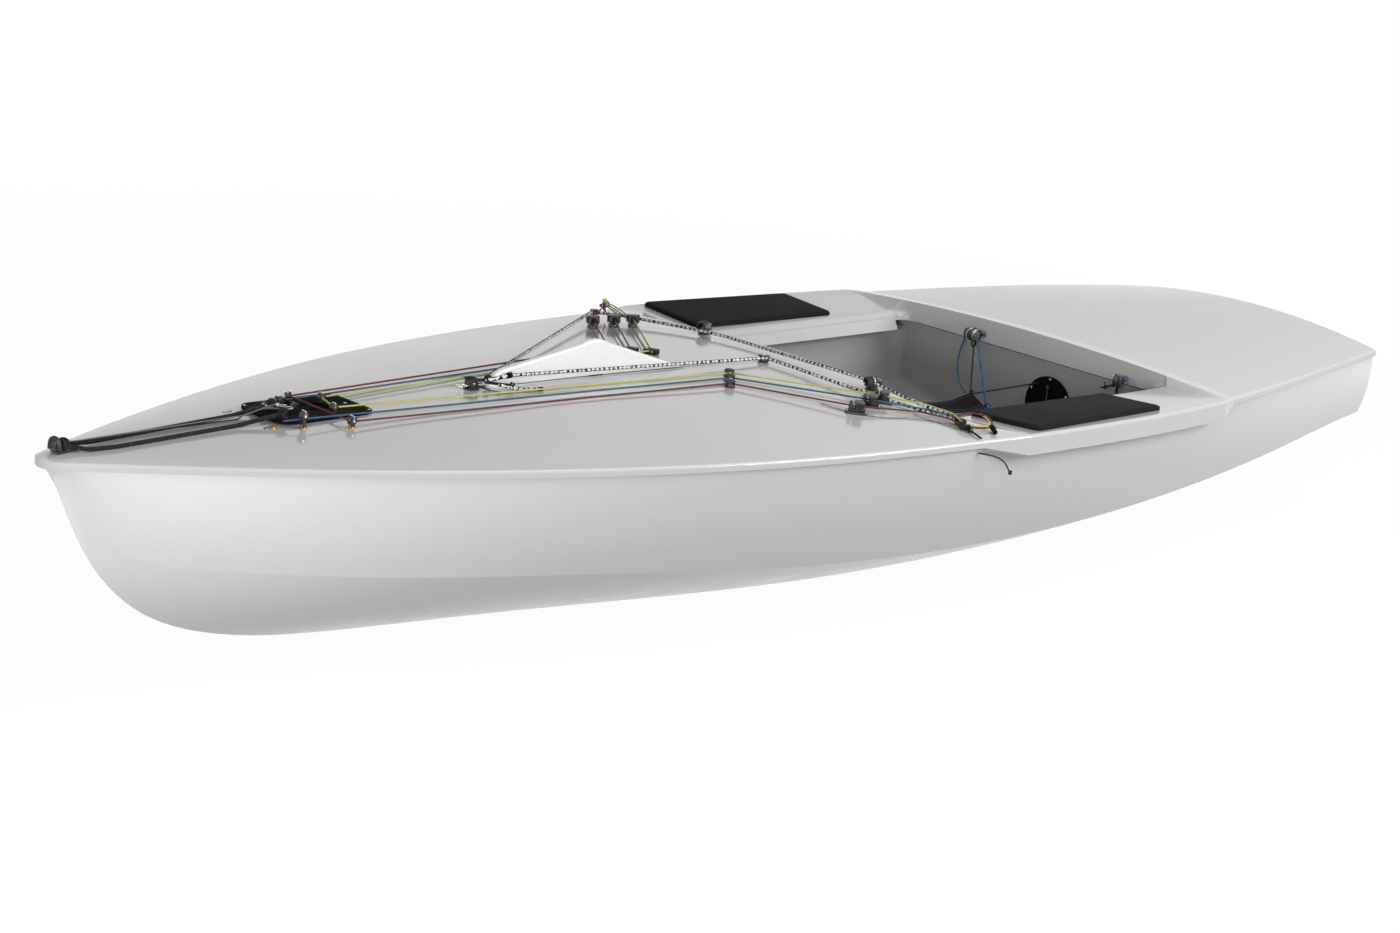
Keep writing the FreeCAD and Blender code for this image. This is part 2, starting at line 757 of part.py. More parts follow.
base_radius = size("block_base")
block_height = size("block_height")
cleat_length = size("cleat_length")
cleat_width = size("cleat_width")
small_block = deck_block(base_radius, block_height * 0.62)
gate_block = standing_block(base_radius, block_height * 1.1)
cleat = cam_cleat(cleat_length, cleat_width)

# Deck fittings: node, kind, then station, half-breadth and heading of each piece.
FITTINGS = (
    ("gate_blocks_port", gate_block, ((3335, 135, 10), (3437, 106, 5), (3308, 43, 5))),
    ("gate_blocks_starboard", gate_block, ((3330, -118, -10), (3400, -104, -5), (3290, -34, -5))),
    ("turning_blocks_port", small_block, ((2215, 122, 45), (2268, 178, 45), (2323, 238, 45))),
    ("turning_blocks_starboard", small_block,
     ((2229, -128, -45), (2268, -166, -45), (2305, -206, -45))),
    ("control_cleats_port", cleat, ((2116, 446, 150), (2044, 417, 150), (1975, 390, 150))),
    ("control_cleats_starboard", cleat, ((2129, -456, 210), (2078, -438, 210), (2026, -420, 210))),
    ("board_block_bow", small_block, ((2912, 0, 0),)),
    ("board_block_port", gate_block, ((2022, 52, 20),)),
    ("board_block_starboard", gate_block, ((2070, -530, -20),)),
    ("swivel_cleat_port", swivel_cleat(cleat_length, cleat_width), ((1934, 322, 160),)),
    ("swivel_cleat_starboard", swivel_cleat(cleat_length, cleat_width), ((1914, -285, 200),)),
)
for label, shape, places in FITTINGS:
    group(label, [(shape, seat(*place)) for place in places])

# Mast gate: a plate on the deck with the mast's hole.
gate = body_named("mast_gate")
gate_shape = sketch_on(gate, "XY_Plane", "gate_plate")
rectangle(gate_shape, "Sizes.gate_length", "Sizes.gate_width")
circle(gate_shape, -size("gate_ahead"), 0, "Sizes.mast_radius")
gate_pad = pad(gate, gate_shape, "gate_pad", "Sizes.gate_thick")
round_edges(gate, gate_pad, "gate_corners", "Sizes.gate_corner", upright)
gate.Placement = Placement(Vector(gate_middle, 0, gate_seat), Rotation())

# Mast tube and step.
tube_outer = Part.makeCylinder(tube_radius, gate_seat - step_floor,
                               Vector(mast_x, 0, step_floor))
step_seat = step_floor + size("mast_tube_wall")
step_top = step_seat + size("mast_step_height")
step_radius = size("mast_radius") - size("step_shoulder")
tube_bore = Part.makeCylinder(size("mast_radius"), 900, Vector(mast_x, 0, step_top))
step_pocket = Part.makeCylinder(step_radius, 900, Vector(mast_x, 0, step_seat))
stand("mast_tube", tube_outer.cut(tube_bore).cut(step_pocket))
step = body_named("mast_step")
step_ring = sketch_on(step, "XY_Plane", "step_ring")
circle(step_ring, 0, 0, "Sizes.mast_radius - Sizes.step_shoulder - 0.2")
step_pad = pad(step, step_ring, "step_block", "Sizes.mast_step_height")
step_socket = sketch_on(step, "XY_Plane", "step_socket")
circle(step_socket, 0, 0, "Sizes.mast_step_bore")
step_socket.AttachmentOffset = Placement(Vector(0, 0, size("mast_step_height")), Rotation())
pocket(step, step_socket, "step_bore", "Sizes.mast_step_depth")
step.Placement = Placement(Vector(mast_x, 0, step_seat), Rotation())

# Bow fairlead: a low base with an eye.
eye_base = Part.makeBox(46, 30, 5, Vector(-23, -15, 0))
eye_ring = arch_bar(11, 4, -5, 3, 10, 10)
group("bow_fairlead", [(eye_base.fuse(eye_ring).removeSplitter(), on_deck(3942, 0, span=4.0))])

# Hiking pads.
for name, sign in (("port", 1), ("starboard", -1)):
    cushion = body_named("hiking_pad_" + name)
    cushion_shape = sketch_on(cushion, "XY_Plane", "pad_outline_" + name)
    reach = size("pad_length") / 2
    half = size("pad_width") / 2
    outline(cushion_shape, [(-reach, -half * sign), (reach, -half * sign), (reach, half * sign),
                            (-reach, (half - size("pad_taper")) * sign)])
    cushion_pad = pad(cushion, cushion_shape, "pad_foam_" + name, "Sizes.pad_thick")
    rounded = round_edges(cushion, cushion_pad, "pad_corners_" + name, "Sizes.pad_corner", upright)
    top = size("pad_thick")
    bevel_edges(cushion, rounded, "pad_bevel_" + name, "Sizes.pad_thick * 0.45",
                lambda e: e.BoundBox.ZMin > top - 1e-6)
    middle = size("pad_inner") + size("pad_width") / 2
    station = size("pad_aft") + size("pad_length") / 2
    cushion.Placement = on_deck(station / LENGTH_SCALE, sign * middle / BEAM_SCALE, 0.0, 1.2, 80.0)

# Toe strap with its two blocks under the fascia.
strap = body_named("toe_strap")
strap_shape = sketch_on(strap, "XZ_Plane", "strap_line")
strap_front = (fore(size("case_aft")) - 2, up(405))
strap_back = (fore(1150), up(362))
sink = size("strap_thick")
outline(strap_shape, [strap_front, strap_back, (strap_back[0], strap_back[1] - sink),
                      (strap_front[0], strap_front[1] - sink)])
pad(strap, strap_shape, "strap_web", "Sizes.strap_width", True)

for name, y in (("port", 302), ("starboard", -209)):
    hang_x = well_aft - 3
    eye = Part.makeCylinder(3, 10, Vector(hang_x, y, fascia_foot - 10))
    cheeks = Part.makeCylinder(10, 9, Vector(hang_x, y - 4.5, fascia_foot - 16), Vector(0, 1, 0))
    stand("strap_block_" + name, eye.fuse(cheeks).removeSplitter())

# Inspection hatch in the aft bulkhead: a flanged ring and its turning cover.
hatch_place = Placement(Vector(tub_aft, 78, up(348)), Rotation())
ring = body_named("hatch_ring")
ring_shape = sketch_on(ring, "YZ_Plane", "ring_section")
circle(ring_shape, 0, 0, "Sizes.hatch_radius")
circle(ring_shape, 0, 0, "Sizes.hatch_hole")
pad(ring, ring_shape, "ring_flange", "Sizes.hatch_flange")
ring.Placement = hatch_place
cover = body_named("hatch_cover")
cover_shape = sketch_on(cover, "YZ_Plane", "cover_disc")
circle(cover_shape, 0, 0, "Sizes.hatch_hole - 0.4")
pad(cover, cover_shape, "cover_plate", "Sizes.hatch_flange - 1")
grip_shape = sketch_on(cover, "YZ_Plane", "cover_grip")
rectangle(grip_shape, "10", "Sizes.hatch_hole * 1.6")
pad(cover, grip_shape, "cover_bar", "Sizes.hatch_flange + 4")
cover.Placement = Placement(hatch_place.Base + Vector(0.4, 0, 0), Rotation())

# Rudder gudgeons on the transom.
transom_x = fore(0)
for name, height in (("upper", 478), ("lower", 262)):
    gudgeon = body_named("rudder_gudgeon_" + name)
    plate = sketch_on(gudgeon, "XY_Plane", "gudgeon_plate_" + name)
    rectangle(plate, "Sizes.gudgeon_reach", "Sizes.gudgeon_width")
    plate_pad = pad(gudgeon, plate, "gudgeon_arm_" + name, "Sizes.gudgeon_thick")
    hole = sketch_on(gudgeon, "XY_Plane", "gudgeon_hole_" + name)
    circle(hole, -8, 0, "Sizes.gudgeon_bore")
    pocket(gudgeon, hole, "gudgeon_bore_" + name, "Sizes.gudgeon_thick * 3", False, True)
    flange = sketch_on(gudgeon, "YZ_Plane", "gudgeon_flange_" + name)
    rectangle(flange, "Sizes.gudgeon_width * 1.6", "Sizes.gudgeon_width * 0.9")
    flange.AttachmentOffset = Placement(Vector(0, 0, size("gudgeon_reach") / 2
                                               - size("gudgeon_flange")), Rotation())
    flange_pad = pad(gudgeon, flange, "gudgeon_flange_plate_" + name, "Sizes.gudgeon_flange")
    outer_end = -size("gudgeon_reach") / 2 + 1
    round_edges(gudgeon, flange_pad, "gudgeon_nose_" + name, "Sizes.gudgeon_width * 0.4",
                lambda e: upright(e) and e.BoundBox.XMax < outer_end)
    gudgeon.Placement = Placement(Vector(transom_x - size("gudgeon_reach") / 2 - 0.3, 0,
                                         up(height)), Rotation())



def cord(label, diameter, points):
    """A round cord of straight runs joined by tangent arcs, through chosen corner points."""
    corners = [Vector(*point) for point in points]
    starts = [corners[0]]
    edges = []
    length = 0.0
    radii = []
    for before, corner, after in zip(corners, corners[1:], corners[2:]):
        back = (before - corner).normalize()
        ahead = (after - corner).normalize()
        half_turn = (math.pi - back.getAngle(ahead)) / 2.0
        shorter = min((before - corner).Length, (after - corner).Length)
        reach = 0.45 * shorter
        radius = reach / math.tan(half_turn)
        inward = (back + ahead).normalize()
        middle = corner + inward * (radius / math.cos(half_turn) - radius)
        start = corner + back * reach
        end = corner + ahead * reach
        edges.append(Part.makeLine(starts[-1], start))
        edges.append(Part.Arc(start, middle, end).toShape())
        length += (start - starts[-1]).Length + 2 * half_turn * radius
        starts.append(end)
        radii.append(round(radius, 1))
    edges.append(Part.makeLine(starts[-1], corners[-1]))
    length += (corners[-1] - starts[-1]).Length
    path = Part.Wire(edges)
    heading = (corners[1] - corners[0]).normalize()
    ring = Part.Wire([Part.makeCircle(diameter / 2.0, corners[0], heading)])
    tube = path.makePipeShell([ring], True, False)
    expected = math.pi * diameter ** 2 / 4 * length
    if abs(tube.Volume / expected - 1) > 0.02:
        raise SystemExit("%s: volume %.0f, expected %.0f" % (label, tube.Volume, expected))
    print(label, "length %.1f" % length, "bends", radii)
    return stand(label, tube)


def lying(station, y, lift):
    """A point of a cord over the deck."""
    x = fore(station)
    return (x, side(y), deck_height(x, side(y)) + lift)


def hanging(station, y, height):
    return (fore(station), side(y), up(height))


thin = size("thin_cord")
rope = size("board_rope")
slack = size("adjuster_line")
cord("hanging_cord", thin, [hanging(1941, 670, 467.5), hanging(1917, 692, 466),
                            hanging(1880, 707, 450), hanging(1861, 706, 420)])
cord("board_rope_tail", rope, [lying(2853, 36, 13.0), lying(2824, 55, rope / 2 + 1.5),
                               lying(2790, 70, rope / 2 + 0.4), lying(2757, 76, rope / 2 + 0.4)])
cord("adjuster_line", slack, [hanging(988, -219, 452), hanging(1014, -208, 433),
                              hanging(1052, -180, 404), hanging(1092, -136, 381),
                              hanging(1126, -92, 369), hanging(1147, -59, 366)])

doc.recompute()
for item in doc.Objects:
    if "Invalid" in item.State or "Error" in item.State:
        raise SystemExit("%s failed to recompute: %s" % (item.Label, item.State))
for piece in nodes:
    shape = piece.Shape
    if shape.isNull() or not shape.isValid() or shape.Volume <= 0:
        raise SystemExit("%s has no valid shape" % piece.Label)
    print(piece.Label, round(shape.Volume), len(shape.Solids))
    shape.exportStep("parts/%s.step" % piece.Label)
print(len(nodes), "nodes")
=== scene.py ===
"""The finished look of a four metre single-handed sailing dinghy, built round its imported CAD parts.

Everything is in metres in the boat's own frame: +X to the bow, +Y to port, +Z up, origin on the
waterline two metres forward of the transom.
"""
import math

import bmesh
import bpy
from mathutils import Matrix, Vector
from mathutils.bvhtree import BVHTree


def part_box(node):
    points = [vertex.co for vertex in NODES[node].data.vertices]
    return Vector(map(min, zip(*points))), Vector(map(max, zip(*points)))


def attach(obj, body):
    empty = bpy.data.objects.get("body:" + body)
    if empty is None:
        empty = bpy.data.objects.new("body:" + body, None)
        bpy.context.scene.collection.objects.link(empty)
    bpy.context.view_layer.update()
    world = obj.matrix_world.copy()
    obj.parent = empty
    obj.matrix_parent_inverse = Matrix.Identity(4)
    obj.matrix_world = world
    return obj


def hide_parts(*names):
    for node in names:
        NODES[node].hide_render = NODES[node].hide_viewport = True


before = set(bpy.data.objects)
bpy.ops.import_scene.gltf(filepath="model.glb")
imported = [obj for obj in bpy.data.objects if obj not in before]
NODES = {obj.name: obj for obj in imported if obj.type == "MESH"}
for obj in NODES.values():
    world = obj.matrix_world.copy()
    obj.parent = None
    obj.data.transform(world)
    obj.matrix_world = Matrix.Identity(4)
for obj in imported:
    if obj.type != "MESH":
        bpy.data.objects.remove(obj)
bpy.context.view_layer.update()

ORIGIN_STATION = 2.0
UP = Vector((0, 0, 1))

# Line sizes, diameters in metres.
CONTROL_LINE = 0.0042
BOARD_ROPE = 0.0075
HANGING_CORD = 0.0035
SHOCK_CORD = 0.0098
ADJUSTER_LINE = 0.0050
TAIL_LINE = 0.0036
THIN_CORD = 0.0030


# ---------------------------------------------------------------- places on the boat

def surface_of(*names):
    """The surfaces of some CAD nodes, to drop points onto."""
    points = []
    faces = []
    for name in names:
        mesh = NODES[name].data
        start = len(points)
        points += [vertex.co.copy() for vertex in mesh.vertices]
        faces += [[start + index for index in face.vertices] for face in mesh.polygons]
    return BVHTree.FromPolygons(points, faces)


DECK = surface_of("deck", "mast_gate")
DROP_HEIGHT = 2.0


def at(station, y, z):
    """A point by its station and its height above the waterline."""
    return Vector((station - ORIGIN_STATION, y, z))


def drop_on_deck(station, y):
    """Where a plumb line meets the deck, and the way the deck faces there."""
    hit, normal, face, far = DECK.ray_cast(at(station, y, DROP_HEIGHT), -UP)
    return hit, normal if normal.z > 0 else -normal


def on_deck(station, y, lift=0.0):
    """A point on the deck, or that far above it."""
    return drop_on_deck(station, y)[0] + UP * lift


def seat(station, y, heading=0.0):
    """Where a deck fitting stands: its base flat on the deck and its front to the heading, in degrees."""
    hit, normal = drop_on_deck(station, y)
    ahead = Vector((math.cos(math.radians(heading)), math.sin(math.radians(heading)), 0))
    side = normal.cross(ahead).normalized()
    ahead = side.cross(normal)
    place = Matrix((ahead, side, normal)).transposed().to_4x4()
    place.translation = hit
    return place


def angles(count, first=0.0):
    """Angles equally spaced round a full turn, the first one that share of a step along."""
    return [math.tau * (step + first) / count for step in range(count)]


def helix(radius, swing, rise, count, foot=0.0):
    """Points of a coil round the upright axis, each that swing and rise on from the one before."""
    return [Vector((radius * math.cos(step * swing), radius * math.sin(step * swing), foot + step * rise))
            for step in range(count)]


# ---------------------------------------------------------------- finishes

def feed(tree, socket, value):
    """A link or a plain value into a socket."""
    if isinstance(value, bpy.types.NodeSocket):
        tree.links.new(value, socket)
    else:
        socket.default_value = value


def join_node(tree, kind, inputs=None, **settings):
    """A new node in a tree, its sockets fed with values or links."""
    node = tree.nodes.new(kind)
    for key, value in settings.items():
        setattr(node, key, value)
    for key, value in (inputs or {}).items():
        feed(tree, node.inputs[key], value)
    return node


class Finish:
    """A procedural material under construction."""

    def __init__(self, name):
        self.material = bpy.data.materials.new(name)
        self.material.use_nodes = True
        self.tree = self.material.node_tree
        self.shader = self.tree.nodes["Principled BSDF"]
        self.space = self.node("ShaderNodeTexCoord")

    def node(self, kind, inputs=None, **settings):
        return join_node(self.tree, kind, inputs, **settings)

    def set(self, **inputs):
        """Values or links for the shader's own sockets."""
        for key, value in inputs.items():
            feed(self.tree, self.shader.inputs[key.replace("_", " ")], value)

    def noise(self, scale, detail=3.0, roughness=0.5, stretch=(1, 1, 1)):
        """Cloudy noise in the boat's own space, stretched along its axes."""
        mapping = self.node("ShaderNodeMapping",
                            {"Vector": self.space.outputs["Object"], "Scale": stretch})
        made = self.node("ShaderNodeTexNoise", {"Vector": mapping.outputs["Vector"], "Scale": scale,
                                                "Detail": detail, "Roughness": roughness})
        return made.outputs["Fac"]

    def spread(self, value, low, high, start=0.0, end=1.0):
        """A texture's value brought into a range."""
        made = self.node("ShaderNodeMapRange", {"Value": value, "From Min": start, "From Max": end,
                                                "To Min": low, "To Max": high})
        return made.outputs["Result"]

    def math(self, operation, a, b=0.0):
        made = self.node("ShaderNodeMath", {0: a, 1: b}, operation=operation)
        return made.outputs["Value"]

    def mix(self, factor, a, b):
        made = self.node("ShaderNodeMix", {"Factor": factor, "A": a, "B": b}, data_type="RGBA")
        return made.outputs["Result"]

    def relief(self, height, distance, strength=1.0, under=None):
        """A bump from a height, laid over another one where there is one under it."""
        inputs = {"Height": height, "Distance": distance, "Strength": strength}
        if under is not None:
            inputs["Normal"] = under
        return self.node("ShaderNodeBump", inputs).outputs["Normal"]


def shade(colour, factor):
    """A colour made that much lighter or darker."""
    return tuple(min(1.0, channel * factor) for channel in colour[:3]) + (1.0,)


def gelcoat(name, colour, roughness, haze=0.012, ripple=0.12):
    """Moulded polyester: nearly even colour, faint haze from handling, a slow ripple in the gloss."""
    made = Finish(name)
    cloud = made.noise(2.2, 4.0, 0.55)
    dust = made.noise(38.0, 5.0, 0.6)
    both = made.math("MULTIPLY", cloud, dust)
    factor = made.spread(both, 0.0, 1.0, 0.12, 0.42)
    base = made.mix(factor, shade(colour, 1 - haze), shade(colour, 1 + haze))
    gloss = made.spread(made.noise(9.0, 5.0, 0.65), roughness * 0.8, roughness * 1.25, 0.3, 0.7)
    slow = made.relief(made.noise(3.5, 1.0), 0.004 * ripple, 0.5)
    peel = made.relief(made.noise(420.0, 2.0), 0.00008, 0.35, slow)
    made.set(Base_Color=base, Roughness=gloss, Normal=peel, IOR=1.5, Coat_Weight=0.25,
             Coat_Roughness=0.08)
    return made.material


def moulded(name, colour, roughness, grain=260.0, shine=0.4):
    """Moulded nylon: a fine grain and worn, paler patches. With little shine it stays dark seen low."""
    made = Finish(name)
    fine = made.noise(grain, 3.0, 0.6)
    worn = made.noise(24.0, 4.0, 0.6)
    base = made.mix(made.spread(worn, 0.0, 1.0, 0.35, 0.7), shade(colour, 0.8), shade(colour, 1.5))
    made.set(Base_Color=base, Roughness=made.spread(worn, roughness * 0.8, roughness * 1.3, 0.3, 0.7),
             Normal=made.relief(fine, 0.00012, 0.6), IOR=1.5 if shine > 0.3 else 1.25,
             Specular_IOR_Level=shine)
    return made.material


def metal(name, colour, roughness):
    """Polished metal with fine drawn marks and dull patches."""
    made = Finish(name)
    marks = made.noise(60.0, 4.0, 0.7, (1, 1, 40))
    patches = made.noise(30.0, 3.0)
    made.set(Base_Color=made.mix(patches, shade(colour, 0.82), shade(colour, 1.08)),
             Roughness=made.spread(marks, roughness * 0.7, roughness * 1.6, 0.3, 0.7),
             Normal=made.relief(marks, 0.00004, 0.4), Metallic=1.0)
    return made.material


def foam(name, colour):
    """Closed-cell foam: small open pits, a faint bloom on the raised skin."""
    made = Finish(name)
    pits = made.node("ShaderNodeTexVoronoi", {"Vector": made.space.outputs["Object"], "Scale": 620.0},
                     feature="SMOOTH_F1")
    grain = made.noise(900.0, 2.0)
    bloom = made.noise(7.0, 5.0, 0.6)
    base = made.mix(made.spread(bloom, 0.0, 1.0, 0.3, 0.75), shade(colour, 0.75), shade(colour, 1.45))
    rough = made.relief(pits.outputs["Distance"], 0.0004, 0.5)
    made.set(Base_Color=base, Roughness=0.95, Normal=made.relief(grain, 0.0001, 0.3, rough),
             Specular_IOR_Level=0.12)
    return made.material


def webbing(name, colour):
    """Woven strap on its own map: rows of warp along it, crossed by the weft, with painted shade between the
    threads.
    """
    made = Finish(name)
    parts = made.node("ShaderNodeSeparateXYZ", {"Vector": made.space.outputs["UV"]})
    along, across = parts.outputs["Y"], parts.outputs["X"]
    row = made.math("SINE", made.math("MULTIPLY", across, math.tau * 11))
    weft = made.math("SINE", made.math("MULTIPLY", along, math.tau))
    weave = made.math("MULTIPLY", made.math("ABSOLUTE", row), made.spread(weft, 0.5, 1.0, -1, 1))
    fuzz = made.noise(700.0, 2.0)
    # Painted shade and light: the colour follows the weave's height, darker in the hollows between threads
    # and lighter on their tops.
    base = made.mix(weave, shade(colour, 0.5), shade(colour, 1.7))
    made.set(Base_Color=base, Roughness=0.85, Specular_IOR_Level=0.1,
             Normal=made.relief(weave, 0.0007, 0.9, made.relief(fuzz, 0.0001, 0.5)))
    return made.material


def braid(name, colour, picks, share, gloss=0.55):
    """Braided rope on its own map: crossing strands with painted shade between them, and broken bands of a
    second colour along it.
    """
    strands = 8
    made = Finish(name)
    parts = made.node("ShaderNodeSeparateXYZ", {"Vector": made.space.outputs["UV"]})
    round_it = made.math("MULTIPLY", parts.outputs["X"], math.tau * strands / 2)
    along = made.math("MULTIPLY", parts.outputs["Y"], math.tau * 0.85)
    left = made.math("SINE", made.math("ADD", round_it, along))
    right = made.math("SINE", made.math("SUBTRACT", round_it, along))
    height = made.math("MAXIMUM", left, right)
    # Painted shade: the colour follows the strands' height, darker in the grooves between them.
    base = made.mix(made.spread(height, 0.0, 1.0, 0.0, 0.9), shade(colour, 0.62), shade(colour, 1.05))
    stretch = made.node("ShaderNodeMapping", {"Vector": made.space.outputs["UV"],
                                              "Scale": (strands * 0.5, 2.0, 1.0)})
    cells = made.node("ShaderNodeTexVoronoi", {"Vector": stretch.outputs["Vector"], "Scale": 1.0,
                                               "Randomness": 0.8})
    tone = made.node("ShaderNodeSeparateColor", {"Color": cells.outputs["Color"]}).outputs["Red"]
    bands = made.math("SINE", made.math("MULTIPLY", parts.outputs["Y"], math.tau * 0.55))
    quarters = made.math("SINE", made.math("MULTIPLY", parts.outputs["X"], math.tau * 2))
    flecks = made.math("ADD", bands, quarters)
    chosen = made.math("GREATER_THAN", made.math("ADD", flecks, made.spread(tone, -1.1, 1.1)),
                       (0.5 - share) * 2.4)
    base = made.mix(chosen, base, picks)
    made.set(Base_Color=base, Roughness=gloss, Normal=made.relief(height, 0.0003, 0.8),
             Specular_IOR_Level=0.2)
    return made.material


HULL_WHITE = gelcoat("hull_gelcoat", (0.80, 0.80, 0.775), 0.22)
DECK_GREY = gelcoat("deck_gelcoat", (0.56, 0.56, 0.55), 0.16, haze=0.01, ripple=0.10)
# Painted shade: this grey is darker than the deck's and stands for the shade inside the well and on the
# centreboard case.
SHADED_WELL_GREY = gelcoat("well_gelcoat", (0.38, 0.38, 0.376), 0.34, haze=0.02)
BOARD_WHITE = gelcoat("board_gelcoat", (0.80, 0.80, 0.79), 0.30)
BLACK_NYLON = moulded("black_nylon", (0.012, 0.012, 0.013), 0.36)
GREY_NYLON = moulded("grey_nylon", (0.045, 0.045, 0.047), 0.42)
BLACK_PLATE = moulded("black_composite", (0.006, 0.006, 0.007), 0.75, grain=120.0, shine=0.1)
HATCH_BLACK = moulded("hatch_black", (0.005, 0.005, 0.005), 0.7, shine=0.1)
STEEL = metal("polished_stainless", (0.66, 0.65, 0.63), 0.2)
GOLD = metal("gold_anodised", (0.42, 0.19, 0.025), 0.28)
DULL_STEEL = metal("cast_stainless", (0.34, 0.34, 0.33), 0.34)
PAD_FOAM = foam("pad_foam", (0.0125, 0.0125, 0.013))
STRAP_WEB = webbing("strap_webbing", (0.005, 0.005, 0.0052))
BOARD_BRAID = braid("board_rope", (0.80, 0.80, 0.77), (0.006, 0.006, 0.006, 1), 0.70, gloss=0.7)
RED_BRAID = braid("red_line", (0.17, 0.030, 0.027), (0.07, 0.015, 0.015, 1), 0.25)
BLUE_BRAID = braid("blue_line", (0.045, 0.125, 0.22), (0.02, 0.05, 0.10, 1), 0.25)
YELLOW_BRAID = braid("yellow_line", (0.55, 0.60, 0.13), (0.38, 0.38, 0.10, 1), 0.2)
BLUE_FLECK = braid("blue_flecked_line", (0.06, 0.24, 0.44), (0.015, 0.03, 0.06, 1), 0.38)
GREY_BRAID = braid("grey_cord", (0.20, 0.20, 0.20), (0.08, 0.08, 0.08, 1), 0.3, gloss=0.6)
BLACK_BRAID = braid("black_cord", (0.013, 0.013, 0.014), (0.03, 0.03, 0.03, 1), 0.2, gloss=0.8)
TWINE = moulded("whipping_twine", (0.008, 0.008, 0.008), 0.7, grain=900.0, shine=0.15)
# Near-black painted shade for hollows: the mast tube and the slots of the screws.
HOLLOW_SHADE = moulded("painted_hollow_shade", (0.004, 0.004, 0.004), 0.8)


def paint(name, material):
    """A CAD node's finish."""
    node = NODES[name]
    if not node.material_slots:
        node.data.materials.append(material)
    for holder in node.material_slots:
        holder.material = material


for name, material in (
    ("hull", HULL_WHITE), ("deck", DECK_GREY), ("cockpit_tub", SHADED_WELL_GREY),
    ("centreboard_case", SHADED_WELL_GREY), ("centreboard_pivot", STEEL), ("centreboard", BOARD_WHITE),
    ("hanging_cord", BLACK_BRAID), ("board_rope_tail", BOARD_BRAID), ("adjuster_line", BLUE_FLECK),
    ("mast_gate", BLACK_PLATE), ("mast_tube", HOLLOW_SHADE), ("mast_step", BLACK_NYLON),
    ("bow_fairlead", BLACK_NYLON), ("hatch_ring", HATCH_BLACK), ("hatch_cover", HATCH_BLACK),
    ("rudder_gudgeon_upper", STEEL), ("rudder_gudgeon_lower", STEEL),
    ("strap_block_port", BLACK_NYLON), ("strap_block_starboard", BLACK_NYLON),
    ("gate_blocks_port", BLACK_NYLON), ("gate_blocks_starboard", BLACK_NYLON),
    ("turning_blocks_port", BLACK_NYLON), ("turning_blocks_starboard", BLACK_NYLON),
    ("control_cleats_port", BLACK_NYLON), ("control_cleats_starboard", BLACK_NYLON),
    ("board_block_bow", BLACK_NYLON), ("board_block_port", BLACK_NYLON),
    ("board_block_starboard", BLACK_NYLON), ("swivel_cleat_port", BLACK_NYLON),
    ("swivel_cleat_starboard", BLACK_NYLON), ("hiking_pad_port", PAD_FOAM),
    ("hiking_pad_starboard", PAD_FOAM), ("toe_strap", STRAP_WEB),
):
    paint(name, material)


# ---------------------------------------------------------------- shapes

def ease_rims(shape, height, edge):
    """The level edges of an upright shape, rounded off."""
    if edge:
        rims = [e for e in shape.edges if abs(e.verts[0].co.z - e.verts[1].co.z) < height / 4]
        bmesh.ops.bevel(shape, geom=rims, offset=edge, segments=2, profile=0.5,
                        affect="EDGES", material=-1)


def slab(length, width, height, corner=0.0, edge=0.0, foot=0.0):
    """A plate or block with rounded corners and eased rims, standing on foot."""
    shape = bmesh.new()
    bmesh.ops.create_cube(shape, size=1.0)
    bmesh.ops.scale(shape, vec=(length, width, height), verts=shape.verts)
    bmesh.ops.translate(shape, vec=(0, 0, foot + height / 2), verts=shape.verts)
    if corner:
        upright = [e for e in shape.edges if abs(e.verts[0].co.z - e.verts[1].co.z) > height / 2]
        bmesh.ops.bevel(shape, geom=upright, offset=corner, segments=5, profile=0.5,
                        affect="EDGES", material=-1)
    ease_rims(shape, height, edge)
    return shape


def disc(radius, height, foot=0.0, edge=0.0, sides=28):
    """A disc or drum with eased rims, standing on foot."""
    shape = bmesh.new()
    bmesh.ops.create_cone(shape, cap_ends=True, segments=sides, radius1=radius, radius2=radius,
                          depth=height)
    bmesh.ops.translate(shape, vec=(0, 0, foot + height / 2), verts=shape.verts)
    ease_rims(shape, height, edge)
    return shape


def turned(profile, steps=28):
    """A profile of (radius, height) points spun round the upright axis."""
    shape = bmesh.new()
    points = [shape.verts.new((radius, 0, height)) for radius, height in profile]
    edges = [shape.edges.new(pair) for pair in zip(points, points[1:])]
    bmesh.ops.spin(shape, geom=points + edges, cent=(0, 0, 0), axis=UP, angle=math.tau,
                   steps=steps, use_merge=True)
    bmesh.ops.remove_doubles(shape, verts=shape.verts, dist=1e-6)
    bmesh.ops.recalc_face_normals(shape, faces=shape.faces)
    return shape


